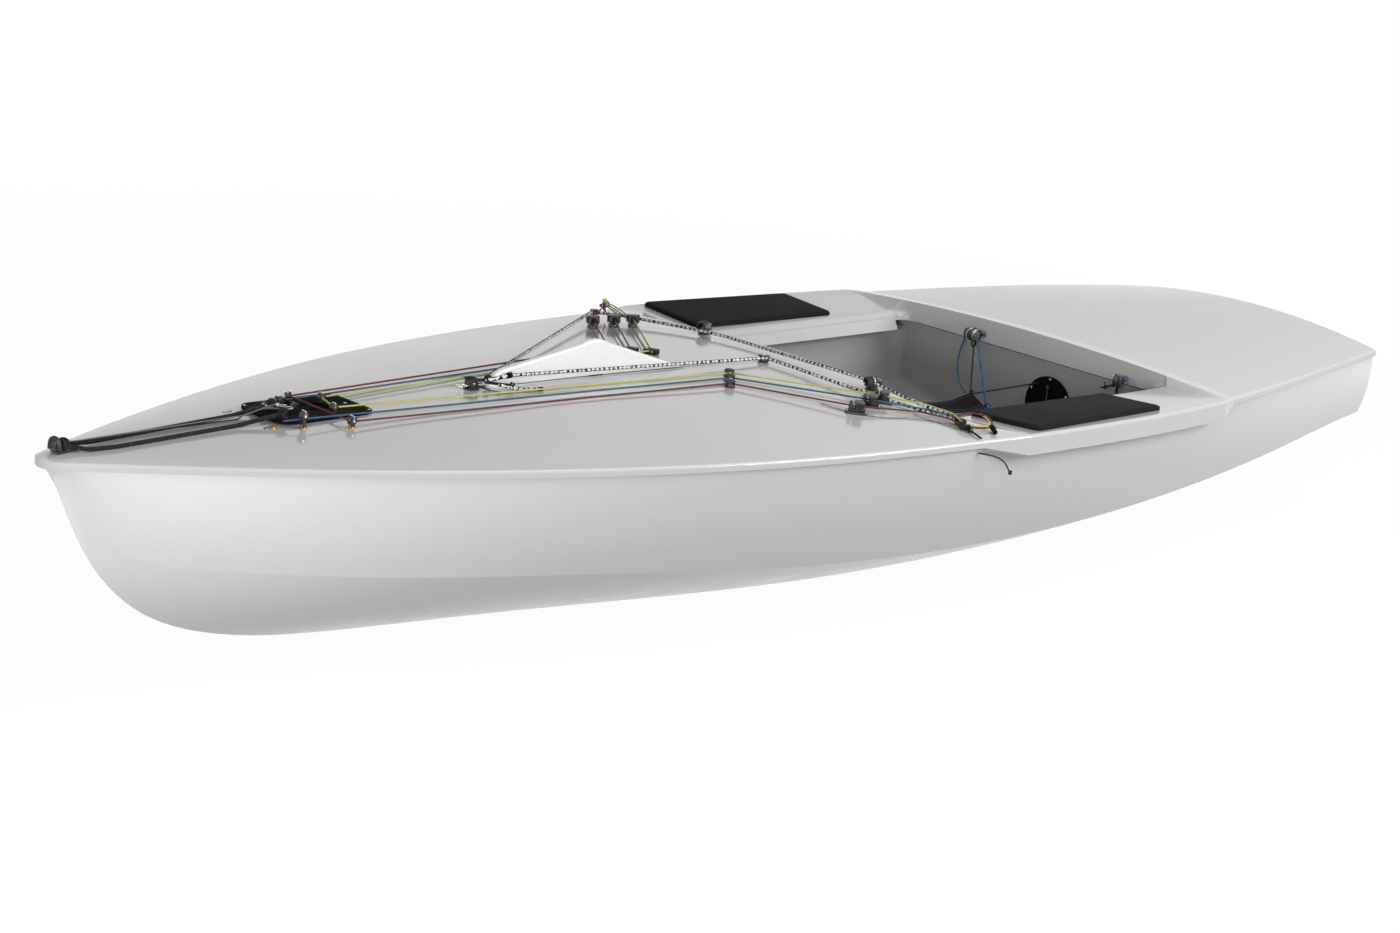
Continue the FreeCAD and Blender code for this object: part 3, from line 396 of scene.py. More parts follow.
def tube(route, diameter, sides=4, closed=False, steps=5):
    """A round tube along a smooth route, mapped round (X) and along (Y), and the points it follows."""
    curve = bpy.data.curves.new("bar", "CURVE")
    curve.dimensions = "3D"
    curve.bevel_resolution = sides
    curve.use_fill_caps = not closed
    curve.resolution_u = steps
    spline = curve.splines.new("NURBS")
    spline.points.add(len(route) - 1)
    for knot, point in zip(spline.points, route):
        knot.co = (*point, 1)
    spline.order_u = 3
    spline.use_endpoint_u = not closed
    spline.use_cyclic_u = closed
    holder = bpy.data.objects.new("bar", curve)
    bpy.context.scene.collection.objects.link(holder)

    def as_mesh(bevel):
        curve.bevel_depth = bevel
        bpy.context.view_layer.update()
        return bpy.data.meshes.new_from_object(
            holder.evaluated_get(bpy.context.evaluated_depsgraph_get()))

    spine_mesh = as_mesh(0.0)
    spine = [vertex.co.copy() for vertex in spine_mesh.vertices]
    mesh = as_mesh(diameter / 2)
    bpy.data.objects.remove(holder)
    bpy.data.curves.remove(curve)
    shape = bmesh.new()
    shape.from_mesh(mesh)
    bpy.data.meshes.remove(mesh)
    bpy.data.meshes.remove(spine_mesh)
    measure_along(shape, diameter)
    return shape, spine


def bent_bar(points, diameter, sides=4, ease=None, closed=False):
    """A round bar or line along points, its corners eased."""
    route = [Vector(point) for point in points]
    if ease and not closed:
        eased = [route[0]]
        for before, corner, after in zip(route, route[1:], route[2:]):
            legs = [end - corner for end in (before, after)]
            near, far = [corner + leg.normalized() * min(ease, leg.length * 0.45) for leg in legs]
            eased += [near, corner, far]
        eased.append(route[-1])
        route = eased
    return tube(route, diameter, sides, closed)[0]


def measure_along(shape, diameter):
    """A curve's map runs along and then round: turned over, with the way along in diameters."""
    chart = shape.loops.layers.uv.active
    rings = {}
    for face in shape.faces:
        if len(face.verts) == 4:
            for corner in face.loops:
                rings.setdefault(round(corner[chart].uv.x, 5), []).append(corner.vert.co.copy())
    way = {}
    total = 0.0
    before = None
    for key in sorted(rings):
        centre = sum(rings[key], Vector()) / len(rings[key])
        if before is not None:
            total += (centre - before).length
        before = centre
        way[key] = total / diameter
    for face in shape.faces:
        for corner in face.loops:
            along, round_it = corner[chart].uv
            corner[chart].uv = (round_it, way.get(round(along, 5), 0.0))


class Piece:
    """One visible piece, joined from shapes that each have their own finish."""

    def __init__(self):
        self.whole = bmesh.new()
        self.whole.loops.layers.uv.new("UVMap")
        self.finishes = []

    def add(self, shape, finish, place=None):
        """A shape in its finish, set in its place; the shape is used up."""
        if finish not in self.finishes:
            self.finishes.append(finish)
        index = self.finishes.index(finish)
        for face in shape.faces:
            face.material_index = index
            face.smooth = True
        if place is not None:
            shape.transform(place)
        if shape.loops.layers.uv.active is None:
            shape.loops.layers.uv.new("UVMap")
        holder = bpy.data.meshes.new("part")
        shape.to_mesh(holder)
        self.whole.from_mesh(holder)
        bpy.data.meshes.remove(holder)
        shape.free()

    def rod(self, points, diameter, finish, place=None, sides=4, ease=None, closed=False):
        """A bar or a length of line along points."""
        self.add(bent_bar(points, diameter, sides, ease, closed), finish, place)

    def done(self, name, body="boat", slot=None, replaces=(), sharp=35.0):
        """The finished piece on its body, with the CAD nodes it replaces; the slot argument is not used."""
        mesh = bpy.data.meshes.new(name)
        self.whole.to_mesh(mesh)
        self.whole.free()
        for finish in self.finishes:
            mesh.materials.append(finish)
        mesh.set_sharp_from_angle(angle=math.radians(sharp))
        made = bpy.data.objects.new(name, mesh)
        bpy.context.scene.collection.objects.link(made)
        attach(made, body)
        if replaces:
            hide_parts(*replaces)
        return made


def turn(axis, degrees):
    """A turn about an axis through the origin."""
    return Matrix.Rotation(math.radians(degrees), 4, axis)


def shift(x=0.0, y=0.0, z=0.0):
    """A move by those distances."""
    return Matrix.Translation((x, y, z))


# ---------------------------------------------------------------- deck fittings

def screw(piece, place, radius=0.0028):
    """A pan head flush on a base, its slot a near-black slab of painted shade."""
    head = ((0, 0.0012), (radius * 0.7, 0.0010), (radius, 0.0002), (radius, -0.001), (0, -0.001))
    piece.add(turned(head, 14), STEEL, place)
    # Painted shade: the slot is a thin near-black slab laid on the head, not a cut.
    piece.add(slab(radius * 1.5, radius * 0.28, 0.0002, foot=0.00112), HOLLOW_SHADE, place)


def sheave(piece, place, radius, width):
    """A grooved wheel on its axle, turning about the upright axis of its place."""
    half = width / 2
    groove = radius * 0.82
    rim = ((0, half), (radius, half), (groove, half * 0.35), (groove, -half * 0.35), (radius, -half),
           (0, -half))
    piece.add(turned(rim, 24), GREY_NYLON, place)


def gold_cup(piece, place):
    """The flared gold foot of a springy block."""
    flare = ((0, 0.0046), (0.0050, 0.0043), (0.0072, 0.0018), (0.0084, 0.0005), (0.0084, -0.0008),
             (0, -0.0008))
    piece.add(turned(flare), GOLD, place)


def outward(place, side):
    """A cheek's place, turned so that its upright axis points away from the wheel."""
    return place if side > 0 else place @ turn("X", 180)


def standing_block(piece, place, axle=0.022, radius=0.0098, cup=True):
    """An upright block: two cheeks, a wheel between, a strap over the top and a neck down to its foot."""
    if cup:
        gold_cup(piece, place)
        piece.rod(helix(0.0050, 0.9, 0.00022, 28, foot=0.005), 0.0012, STEEL, place, sides=1)
    else:
        piece.add(disc(0.0085, 0.0025, 0, 0.0006), BLACK_NYLON, place)
    gap = radius * 0.46
    upright = place @ shift(0, 0, axle)
    neck = max(axle - radius * 0.7, 0.004)
    piece.add(slab(0.009, 2 * gap + 0.002, neck - 0.002, 0.0014, foot=0.002), BLACK_NYLON, place)
    boss = ((0.0026, 0.0016), (radius * 0.62, 0.0014), (radius * 0.70, 0.0008))
    for side in (-1, 1):
        cheek = upright @ turn("X", 90) @ shift(0, 0, side * gap)
        piece.add(disc(radius, 0.0024, -0.0012, 0.0008), BLACK_NYLON, cheek)
        piece.add(turned(boss, 20), GREY_NYLON, outward(cheek, side))
        piece.add(disc(0.0026, 0.0014, 0.0008, sides=14), STEEL, outward(cheek, side))
    sheave(piece, upright @ turn("X", 90), radius * 0.8, gap * 1.3)
    reach = gap + 0.0016
    top = axle + radius * 1.08
    piece.rod([(0, -reach, axle), (0, -reach, top), (0, reach, top), (0, reach, axle)], 0.0022, STEEL, place,
              sides=2, ease=0.003)


def cheek_block(piece, place):
    """A low round block screwed flat: base, wheel and domed top on three posts."""
    dome = ((0, 0.0205), (0.004, 0.0203), (0.0095, 0.0182), (0.0122, 0.0158), (0.0125, 0.0142), (0, 0.0142))
    piece.add(disc(0.0125, 0.003, 0, 0.0007), BLACK_NYLON, place)
    sheave(piece, place @ shift(z=0.0085), 0.0102, 0.0105)
    piece.add(turned(dome), BLACK_NYLON, place)
    for angle in (60, 180, 300):
        post = place @ turn("Z", angle) @ shift(0.0108)
        piece.add(disc(0.0017, 0.0125, 0.0025, sides=12), BLACK_NYLON, post)
    screw(piece, place @ shift(z=0.0203), 0.0036)


def flat_block(piece, place):
    """A flat rectangular exit block with the wheel let into its middle."""
    axle = place @ shift(0.006, 0, 0.0075)
    for side in (-1, 1):
        piece.add(slab(0.036, 0.0052, 0.013, 0.0022, 0.0009), BLACK_NYLON, place @ shift(y=side * 0.0072))
        cap = axle @ shift(y=side * 0.0098) @ turn("X", -90 * side)
        piece.add(disc(0.0024, 0.0012, sides=14), STEEL, cap)
    piece.add(slab(0.010, 0.0156, 0.012, 0.001, 0.0008), BLACK_NYLON, place @ shift(-0.0125))
    piece.add(slab(0.036, 0.0190, 0.003, 0.0030, 0.0007), BLACK_NYLON, place)
    sheave(piece, axle @ turn("X", 90), 0.0068, 0.0085)
    screw(piece, place @ shift(-0.0125, 0, 0.0122))


def cam(piece, place, side, height):
    """One spring-loaded jaw with its teeth."""
    jaw = ((0, height), (0.0050, height - 0.0001), (0.0062, height - 0.0012), (0.0056, 0.0), (0, 0.0))
    piece.add(turned(jaw, 18), GREY_NYLON, place)
    for step in range(6):
        tooth = place @ turn("Z", side * (62 + step * 13)) @ shift(0.0060)
        piece.add(slab(0.0022, 0.0006, height * 0.8, foot=0.0006), GREY_NYLON, tooth)
    piece.add(disc(0.0024, 0.0009, height - 0.0002, sides=14), STEEL, place)


# The control cleats stand this much larger than they are drawn.
CLEAT_SIZE = 1.2


def cam_cleat(piece, place):
    """A cam cleat on its wedge: two jaws under a bridge and a moulded fairlead ring ahead of them."""
    place = place @ Matrix.Scale(CLEAT_SIZE, 4)
    piece.add(slab(0.044, 0.020, 0.0045, 0.0075, 0.001), GREY_NYLON, place)
    piece.add(slab(0.034, 0.017, 0.0065, 0.0060, 0.001, foot=0.0040), BLACK_NYLON, place)
    for side in (-1, 1):
        cam(piece, place @ shift(-0.002, side * 0.0066, 0.0100), -side, 0.0120)
        screw(piece, place @ shift(side * 0.0175, 0, 0.0045))
    piece.add(slab(0.020, 0.024, 0.0034, 0.0060, 0.001, foot=0.0205), BLACK_NYLON, place @ shift(-0.003))
    for side in (-1, 1):
        piece.add(slab(0.014, 0.0026, 0.0150, 0.0009, foot=0.0090), BLACK_NYLON,
                  place @ shift(-0.003, side * 0.0122))
    ring = ((-0.0076, 0.008), (-0.0086, 0.014), (-0.0050, 0.022), (0.0050, 0.022), (0.0086, 0.014),
            (0.0076, 0.008))
    piece.rod([(0.013, y, z) for y, z in ring], 0.0060, BLACK_NYLON, place, sides=2)


def arch_lead(piece, place):
    """A black arch with a pale stripe over a swivelling cam cleat."""
    piece.add(disc(0.0155, 0.0042, 0, 0.001), BLACK_NYLON, place)
    piece.add(disc(0.0100, 0.0060, 0.004), GREY_NYLON, place)
    piece.add(slab(0.046, 0.024, 0.0045, 0.009, 0.001, foot=0.0095), BLACK_NYLON, place @ shift(0.004))
    for side in (-1, 1):
        cam(piece, place @ shift(0.017, side * 0.0060, 0.0135), -side, 0.0110)
        screw(piece, place @ shift(side * 0.0115, 0.0, 0.0042))
    half_turn = [math.pi * step / 10 for step in range(11)]
    for offset, finish, width in ((0.0, BLACK_NYLON, 0.0080), (0.0055, BOARD_WHITE, 0.0036),
                                  (-0.0066, BLACK_NYLON, 0.0074), (0.0100, BLACK_NYLON, 0.006),
                                  (-0.0118, BLACK_NYLON, 0.005)):
        arc = [(offset - 0.004, 0.0135 * math.cos(a), 0.014 + 0.0165 * math.sin(a)) for a in half_turn]
        piece.rod(arc, width, finish, place, sides=2)


def rope_block(piece, place, radius=0.0145, foot=0.0):
    """A ball-bearing block lying low on its swivel foot, for the board's rope."""
    piece.add(disc(radius * 0.85, 0.003, 0, 0.0009), BLACK_NYLON, place)
    if foot:
        piece.add(slab(0.017, 0.020, foot, 0.003, 0.001, foot=0.002), BLACK_NYLON, place)
    middle = place @ shift(z=foot + 0.0105)
    rim = ((0.0035, 0.0016), (radius * 0.8, 0.0015), (radius, 0.0002), (radius, -0.0012), (0.0035, -0.0012))
    cap = ((0.0, 0.0028), (0.0036, 0.0026), (0.0050, 0.0014))
    race = ((radius * 0.60, 0.0020), (radius * 0.72, 0.0019))
    for side in (-1, 1):
        cheek = outward(middle @ shift(0, 0, side * 0.0062), side)
        piece.add(turned(rim, 24), BLACK_NYLON, cheek)
        piece.add(turned(cap, 16), STEEL, cheek)
        piece.add(turned(race, 24), STEEL, cheek)
    sheave(piece, middle, radius * 0.86, 0.0090)
    for angle in (40, 160, 280):
        pin = middle @ turn("Z", angle) @ shift(radius * 0.9)
        piece.add(disc(0.0014, 0.0124, -0.0062, sides=10), STEEL, pin)


# Kind of fitting and the CAD node it stands for, then for each one its station, half-breadth, heading
# in degrees and sizes.
FITTINGS = (
    (standing_block, "gate_blocks_port", (
        (3.339, 0.143, 10, 0.0165), (3.437, 0.106, 5, 0.0290), (3.319, 0.052, 5, 0.0100, 0.0092, False))),
    (standing_block, "gate_blocks_starboard", (
        (3.356, -0.062, 75, 0.0110, 0.0098, False), (3.398, -0.040, -5, 0.0115, 0.0085, False),
        (3.291, -0.031, 5, 0.0100, 0.0092, False))),
    (cheek_block, "turning_blocks_port", ((2.211, 0.114, 45), (2.243, 0.150, 45), (2.278, 0.188, 45))),
    (flat_block, "turning_blocks_starboard", (
        (2.235, -0.132, 115), (2.272, -0.166, 115), (2.309, -0.206, 115))),
    (cam_cleat, "control_cleats_port", ((2.119, 0.447, -42), (2.045, 0.420, -52), (1.990, 0.405, -58))),
    (cam_cleat, "control_cleats_starboard", (
        (2.118, -0.476, 57), (2.062, -0.460, 55), (2.017, -0.438, 52))),
    (rope_block, "board_block_port", ((2.020, 0.036, 20),)),
    (rope_block, "board_block_starboard", ((2.040, -0.560, -20, 0.0110, 0.012),)),
    (arch_lead, "swivel_cleat_port", ((1.930, 0.315, 160),)),
    (arch_lead, "swivel_cleat_starboard", ((1.922, -0.276, 200),)),
)

for make, node, rows in FITTINGS:
    piece = Piece()
    for station, y, heading, *sizes in rows:
        make(piece, seat(station, y, heading), *sizes)
    piece.done(node + "_built", slot="black_fitting", replaces=(node,))


# ---------------------------------------------------------------- lines

def line(name, points, diameter, finish, ease=0.012):
    """A taut line over its blocks."""
    piece = Piece()
    piece.rod(points, diameter, finish, ease=ease)
    return piece.done(name, sharp=60.0)


def stops(route):
    """Points on a route of (station, half-breadth, height above the deck)."""
    return [on_deck(*stop) for stop in route]


def knot(piece, middle, size, diameter, finish, tilt=0.0):
    """A small overhand knot pulled tight."""
    route = [Vector((math.sin(a) + 2 * math.sin(2 * a), math.cos(a) - 2 * math.cos(2 * a),
                     -1.6 * math.sin(3 * a))) * (size / 6) for a in angles(18)]
    place = Matrix.Translation(middle) @ turn("Y", 70 + tilt) @ turn("Z", tilt)
    piece.rod(route, diameter, finish, place, sides=3, closed=True)


def whipping(piece, start, end, radius, finish, twine=0.0018):
    """Twine wound tightly round a rope or a bundle, from start to end."""
    start, end = Vector(start), Vector(end)
    along = end - start
    place = Matrix.Translation(start) @ along.to_track_quat("Z", "X").to_matrix().to_4x4()
    piece.add(disc(radius, along.length, edge=radius * 0.2, sides=16), finish, place)
    turns = max(2, int(along.length / twine))
    coil = helix(radius + twine * 0.2, math.tau / 8, along.length / (8 * turns), 8 * turns + 1)
    piece.rod(coil, twine, finish, place, sides=1)


def free_cord(name, node, points, diameter, finish, slot):
    """A loose cord on its CAD route."""
    shape, spine = tube(points, diameter, steps=10)
    piece = Piece()
    piece.add(shape, finish)
    made = piece.done(name, slot=slot, replaces=(node,), sharp=60.0)
    return made


# Each port line: from the gate over its turning block and cleat into the bundle by the side deck.
PORT_LINES = (
    ("yellow", YELLOW_BRAID, (
        (3.319, 0.052, 0.010), (2.211, 0.114, 0.009), (1.990, 0.405, 0.017), (1.925, 0.487, 0.016),
        (1.912, 0.560, 0.017), (1.925, 0.606, 0.013))),
    ("blue", BLUE_BRAID, (
        (3.475, 0.088, 0.016), (3.437, 0.106, 0.021), (2.243, 0.150, 0.009), (2.045, 0.420, 0.017),
        (1.938, 0.502, 0.011), (1.915, 0.566, 0.013), (1.928, 0.612, 0.010))),
    ("red", RED_BRAID, (
        (3.356, -0.062, 0.012), (3.339, 0.143, 0.014), (2.278, 0.188, 0.009), (2.119, 0.447, 0.017),
        (1.960, 0.502, 0.007), (1.925, 0.563, 0.008), (1.932, 0.620, 0.008))),
)
# The starboard lines cross the gate, run aft and end in knots on the side deck.
STARBOARD_LINES = (
    ("yellow", YELLOW_BRAID, (
        (3.319, 0.052, 0.011), (3.291, -0.031, 0.010), (2.235, -0.132, 0.0085), (2.017, -0.438, 0.0170),
        (2.010, -0.500, 0.020), (1.975, -0.585, 0.030))),
    ("blue", BLUE_BRAID, (
        (3.430, -0.032, 0.010), (3.398, -0.040, 0.010), (2.272, -0.166, 0.0085), (2.062, -0.460, 0.0170),
        (2.045, -0.500, 0.018), (1.985, -0.590, 0.026))),
    ("red", RED_BRAID, (
        (3.360, -0.064, 0.010), (2.309, -0.206, 0.0085), (2.118, -0.476, 0.0170), (2.090, -0.515, 0.017),
        (1.985, -0.595, 0.024))),
)
for side, table in (("port", PORT_LINES), ("starboard", STARBOARD_LINES)):
    for colour, finish, route in table:
        line(colour + "_line_" + side, stops(route), CONTROL_LINE, finish)

# The starboard lines double back beside themselves, in grey, from each cleat to its turning block.
DOUBLED_LINES = (((2.309, -0.206), (2.118, -0.476)), ((2.272, -0.166), (2.062, -0.460)),
                 ((2.235, -0.132), (2.017, -0.438)))
for number, (block, cleat) in enumerate(DOUBLED_LINES, start=1):
    second = stops(((block[0] + 0.012, block[1] - 0.006, 0.007),
                    (cleat[0] + 0.014, cleat[1] - 0.004, 0.014)))
    line("doubled_line_%d" % number, second, THIN_CORD, GREY_BRAID)

tails = Piece()
knot(tails, on_deck(1.978, -0.592, 0.032), 0.026, 0.0048, RED_BRAID)
knot(tails, on_deck(1.984, -0.585, 0.044), 0.014, TAIL_LINE, YELLOW_BRAID, 40)
for route, diameter, finish in (
        (((1.986, -0.586, 0.042), (1.995, -0.520, 0.038), (2.022, -0.448, 0.020)), TAIL_LINE, YELLOW_BRAID),
        (((1.990, -0.586, 0.040), (2.004, -0.520, 0.034), (2.030, -0.448, 0.018)), THIN_CORD, GREY_BRAID)):
    tails.rod(stops(route), diameter, finish, sides=3)
tails.done("starboard_line_tails", sharp=60.0)

# The board's rope is one rope with both ends at the nose block, led aft and out to the port side deck.
ROPE_AT_NOSE_PORT = at(2.806, 0.016, 0.455)
ROPE_AT_NOSE_STARBOARD = at(2.846, -0.012, 0.450)
line("board_rope_port", [ROPE_AT_NOSE_PORT] + stops((
    (2.020, 0.044, 0.0115), (2.012, 0.330, 0.014), (1.985, 0.420, 0.010), (1.935, 0.515, 0.006),
    (1.915, 0.575, 0.007), (1.931, 0.640, 0.008))), BOARD_ROPE, BOARD_BRAID, ease=0.02)
line("board_rope_starboard", [ROPE_AT_NOSE_STARBOARD] + stops((
    (2.040, -0.572, 0.022), (2.005, -0.500, 0.019), (1.950, -0.276, 0.013), (1.938, -0.190, 0.012),
    (1.935, 0.300, 0.021), (1.930, 0.480, 0.013), (1.909, 0.566, 0.010), (1.930, 0.634, 0.008))),
     BOARD_ROPE, BOARD_BRAID, ease=0.02)

nose = Piece()
nose.rod([at(2.868, 0.006, 0.446), at(2.842, 0.013, 0.450), ROPE_AT_NOSE_PORT], 0.0094, BOARD_BRAID)
whipping(nose, at(2.812, 0.016, 0.4545), at(2.800, 0.016, 0.4555), 0.0062, TWINE)
lower_leg = [at(2.868, 0.008, 0.443), on_deck(2.846, 0.030, 0.012), on_deck(2.827, 0.052, 0.012)]
nose.rod(lower_leg, 0.0070, BLACK_BRAID)
knot(nose, lower_leg[-1], 0.017, 0.0050, BOARD_BRAID)
nose.rod([at(2.903, 0.0, 0.447), at(2.878, 0.002, 0.449), at(2.852, 0.004, 0.446)], 0.0080, BLACK_BRAID)
knot(nose, at(2.858, 0.004, 0.447), 0.019, 0.0050, BLACK_BRAID, 30)
nose_loop = ((2.856, -0.018, 0.004), (2.880, -0.017, 0.005), (2.884, 0.030, 0.003), (2.862, 0.062, 0.002),
             (2.838, 0.068, 0.002))
nose.rod(stops(nose_loop), 0.0024, BLACK_BRAID, sides=2)
nose.done("nose_splices", sharp=60.0)

block = Piece()
place = seat(2.903, 0.002)
block.add(slab(0.030, 0.026, 0.004, 0.004, 0.0008), BLACK_NYLON, place)
for side in (-1, 1):
    block.add(slab(0.024, 0.0042, 0.021, 0.0030, 0.0008, foot=0.003), BLACK_NYLON,
              place @ shift(y=side * 0.0088))
    screw(block, place @ shift(0, side * 0.0109, 0.014) @ turn("X", -90 * side))
sheave(block, place @ shift(0, 0, 0.014) @ turn("X", 90), 0.0098, 0.0110)
for spread in (-0.006, 0.0, 0.006):
    spring = [Vector((0.012 + step * 0.0011, spread * (1 + step * 0.02) + 0.0016 * math.cos(step * 1.3),
                      0.009 + 0.0016 * math.sin(step * 1.3))) for step in range(22)]
    block.rod(spring, 0.0010, STEEL, place, sides=1)
block.done("board_block_bow_built", slot="black_fitting", replaces=("board_block_bow",))

tail_route = stops(((2.853, 0.036, 0.0130), (2.824, 0.055, 0.00525), (2.790, 0.070, 0.00415),
                    (2.757, 0.076, 0.00415)))
whipped = Piece()
whipping(whipped, tail_route[-1].lerp(tail_route[-2], 0.36), tail_route[-1] + Vector((-0.001, 0, 0)),
         BOARD_ROPE * 0.53, TWINE, 0.0012)
tail_end = whipped.done("board_rope_whipping", sharp=60.0)
free_cord("board_rope_tail_braid", "board_rope_tail", tail_route, BOARD_ROPE,
          BOARD_BRAID, "flecked_braid")

# A thin retaining line lies beside the board, with a dark whipped tip; past the tip a black cord paints the
# shadow line under the board's rope.
retaining_and_shadow = Piece()
retaining_and_shadow.rod([at(2.806, 0.020, 0.4345), at(2.560, 0.0145, 0.4300)], 0.0022, GREY_BRAID, sides=2)
retaining_and_shadow.rod([at(2.566, 0.0145, 0.4302), at(2.520, 0.0135, 0.4292)], 0.0028, TWINE, sides=3)
# Painted shadow: this black length stands for the shadow line under the board's rope.
retaining_and_shadow.rod([at(2.515, 0.0130, 0.4288), at(2.262, 0.0115, 0.4225)], 0.0020, BLACK_BRAID, sides=2)
retaining_and_shadow.done("board_retaining_line_and_shadow", sharp=60.0)


# ---------------------------------------------------------------- the bow and the mast gate

FAR_CORD_END = (3.436, -0.012, 0.013)
NEAR_CORD_END = (3.458, 0.062, 0.013)
line("shock_cord_port", [at(3.956, 0.0045, 0.4185), at(3.938, 0.0100, 0.4175)] + stops((
    (3.905, 0.030, 0.006), (3.850, 0.042, 0.006), (3.560, 0.048, 0.007), NEAR_CORD_END)),
     SHOCK_CORD, BLACK_BRAID, ease=0.02)
line("shock_cord_starboard", [at(3.956, -0.0045, 0.4185), at(3.936, -0.0050, 0.4185)] + stops((
    (3.880, -0.008, 0.006), (3.530, -0.016, 0.007), FAR_CORD_END)), SHOCK_CORD, BLACK_BRAID, ease=0.02)
for name, y_bow, route, finish in (
        ("gate_cord_outer", 0.003, ((3.540, 0.020, 0.010), (3.460, -0.030, 0.012), (3.395, -0.055, 0.012)),
         BLACK_BRAID),
        ("gate_cord_inner", -0.003, ((3.520, 0.012, 0.013), (3.452, 0.006, 0.016), (3.410, -0.006, 0.016)),
         GREY_BRAID)):
    line(name, [at(3.930, y_bow, 0.421)] + stops(route), THIN_CORD, finish, ease=0.01)

# The fairlead's hood at the stem, its filled throat, and two turns of the shock cord behind it.
bow = Piece()
bow.rod([at(3.967, -0.0130, 0.410), at(3.968, -0.0125, 0.426), at(3.966, 0.0, 0.4355),
         at(3.962, 0.0125, 0.428), at(3.960, 0.0130, 0.410)], 0.0105, BLACK_NYLON, sides=5)
bow.add(slab(0.014, 0.021, 0.019, 0.004, 0.003), BLACK_NYLON, Matrix.Translation(at(3.963, 0, 0.412)))
for station, radius in ((3.953, 0.0120), (3.945, 0.0128)):
    cord_turn = [at(station - 0.004 * math.cos(a), 0.003 + radius * math.cos(a),
                    0.4205 + radius * 0.8 * math.sin(a)) for a in angles(12)]
    bow.rod(cord_turn, 0.0072, BLACK_BRAID, closed=True)
bow.done("shock_cord_knots", sharp=60.0)


def bow_shackle(piece, place, size):
    """A bent steel shackle with its pin."""
    arm = ((0, -0.3), (0.5, -0.36), (1, -0.2), (1, 0.2), (0.5, 0.36), (0, 0.3))
    piece.rod([(x * size, y * size, 0) for x, y in arm], size * 0.17, DULL_STEEL, place, sides=3)
    pin = place @ turn("X", 90)
    piece.add(disc(size * 0.11, size * 0.95, -size * 0.475, sides=14), DULL_STEEL, pin)
    piece.add(disc(size * 0.19, size * 0.12, size * 0.42, sides=14), DULL_STEEL, pin)


# Station, half-breadth, height above the plate, heading, lean and size of each shackle.
SHACKLES = ((3.452, -0.004, 0.013, 200, 20, 0.022), (3.436, 0.010, 0.016, 150, -25, 0.020),
            (3.424, -0.022, 0.014, 215, 60, 0.018), (3.424, 0.024, 0.012, 170, 10, 0.017))
GATE_WHEELS = ((3.450, -0.014, 0.012), (3.412, -0.008, 0.020), (3.396, 0.016, 0.012))
gear = Piece()
for station, y, lift, heading, lean, size in SHACKLES:
    place = Matrix.Translation(on_deck(station, y, lift)) @ turn("Z", heading) @ turn("X", lean)
    bow_shackle(gear, place, size)
for middle in stops(GATE_WHEELS):
    wheel = Matrix.Translation(middle) @ turn("Z", 15) @ turn("X", 80)
    for side in (-1, 1):
        gear.add(disc(0.0088, 0.0034, -0.0017, 0.0008), BLACK_NYLON, wheel @ shift(z=side * 0.0042))
    sheave(gear, wheel, 0.0076, 0.0052)
    gear.add(disc(0.0028, 0.0124, -0.0062, sides=14), STEEL, wheel)
knot(gear, on_deck(*FAR_CORD_END), 0.024, 0.0070, BLACK_BRAID)
knot(gear, on_deck(*NEAR_CORD_END), 0.024, 0.0070, BLACK_BRAID, 20)
gear.rod(stops(((3.470, 0.000, 0.010), (3.450, 0.014, 0.013), (3.434, 0.022, 0.012))), CONTROL_LINE,
         BLUE_BRAID, sides=3)
gear.done("gate_shackles", slot="black_fitting")

cups = Piece()
for station, y in ((3.494, 0.079), (3.402, -0.047), (3.474, -0.020)):
    gold_cup(cups, seat(station, y))
for side in (-1, 1):
    cups.add(slab(0.022, 0.014, 0.0016, 0.006, 0.0004), DULL_STEEL, seat(3.502, 0.074 * side, 20))
for station, y in ((3.235, 0.066), (3.235, -0.066), (3.250, 0.0), (3.462, -0.070)):
    screw(cups, seat(station, y), 0.0036)
cups.done("gate_cups_and_screws", slot="black_fitting")


# ---------------------------------------------------------------- the bundle on the port side deck

bundle = Piece()
whipping(bundle, on_deck(1.914, 0.576, 0.0075), on_deck(1.918, 0.592, 0.0075), 0.0074, TWINE, 0.0022)
whipping(bundle, on_deck(1.930, 0.628, 0.0065), on_deck(1.932, 0.638, 0.0060), 0.0058, TWINE, 0.0020)
for station, y, lift, width, tilt in (
        (1.919, 0.598, 0.0075, 0.019, 10), (1.926, 0.610, 0.0080, 0.018, 60),
        (1.935, 0.614, 0.0050, 0.017, 120), (1.930, 0.626, 0.0065, 0.017, 200)):
    knot(bundle, on_deck(station, y, lift), width, 0.0044, BLACK_BRAID, tilt)
bundle.rod(stops(((1.931, 0.632, 0.006), (1.936, 0.655, 0.005), (1.941, 0.678, 0.004))), 0.0050,
           BLACK_BRAID, sides=3)

# The loose loop past the bundle: its red and yellow outer sides, its red return and a yellow bight.
for finish, start, far in ((RED_BRAID, 0.0, 0.0), (YELLOW_BRAID, 0.006, -0.010)):
    loop = ((1.926 - start, 0.618, 0.009), (1.905, 0.634 + far, 0.007), (1.880, 0.645 + far, 0.007),
            (1.856, 0.636 + far, 0.012), (1.842, 0.620 + far, 0.018), (1.832, 0.596 + far * 2, 0.022))
    bundle.rod(stops(loop), CONTROL_LINE, finish)
bundle.rod(stops(((1.832, 0.596, 0.022), (1.848, 0.575, 0.022), (1.880, 0.570, 0.018),
                  (1.910, 0.574, 0.016))), CONTROL_LINE, RED_BRAID)
bundle.rod(stops(((1.860, 0.628, 0.010), (1.852, 0.640, 0.013), (1.862, 0.652, 0.009))), CONTROL_LINE,
           YELLOW_BRAID)
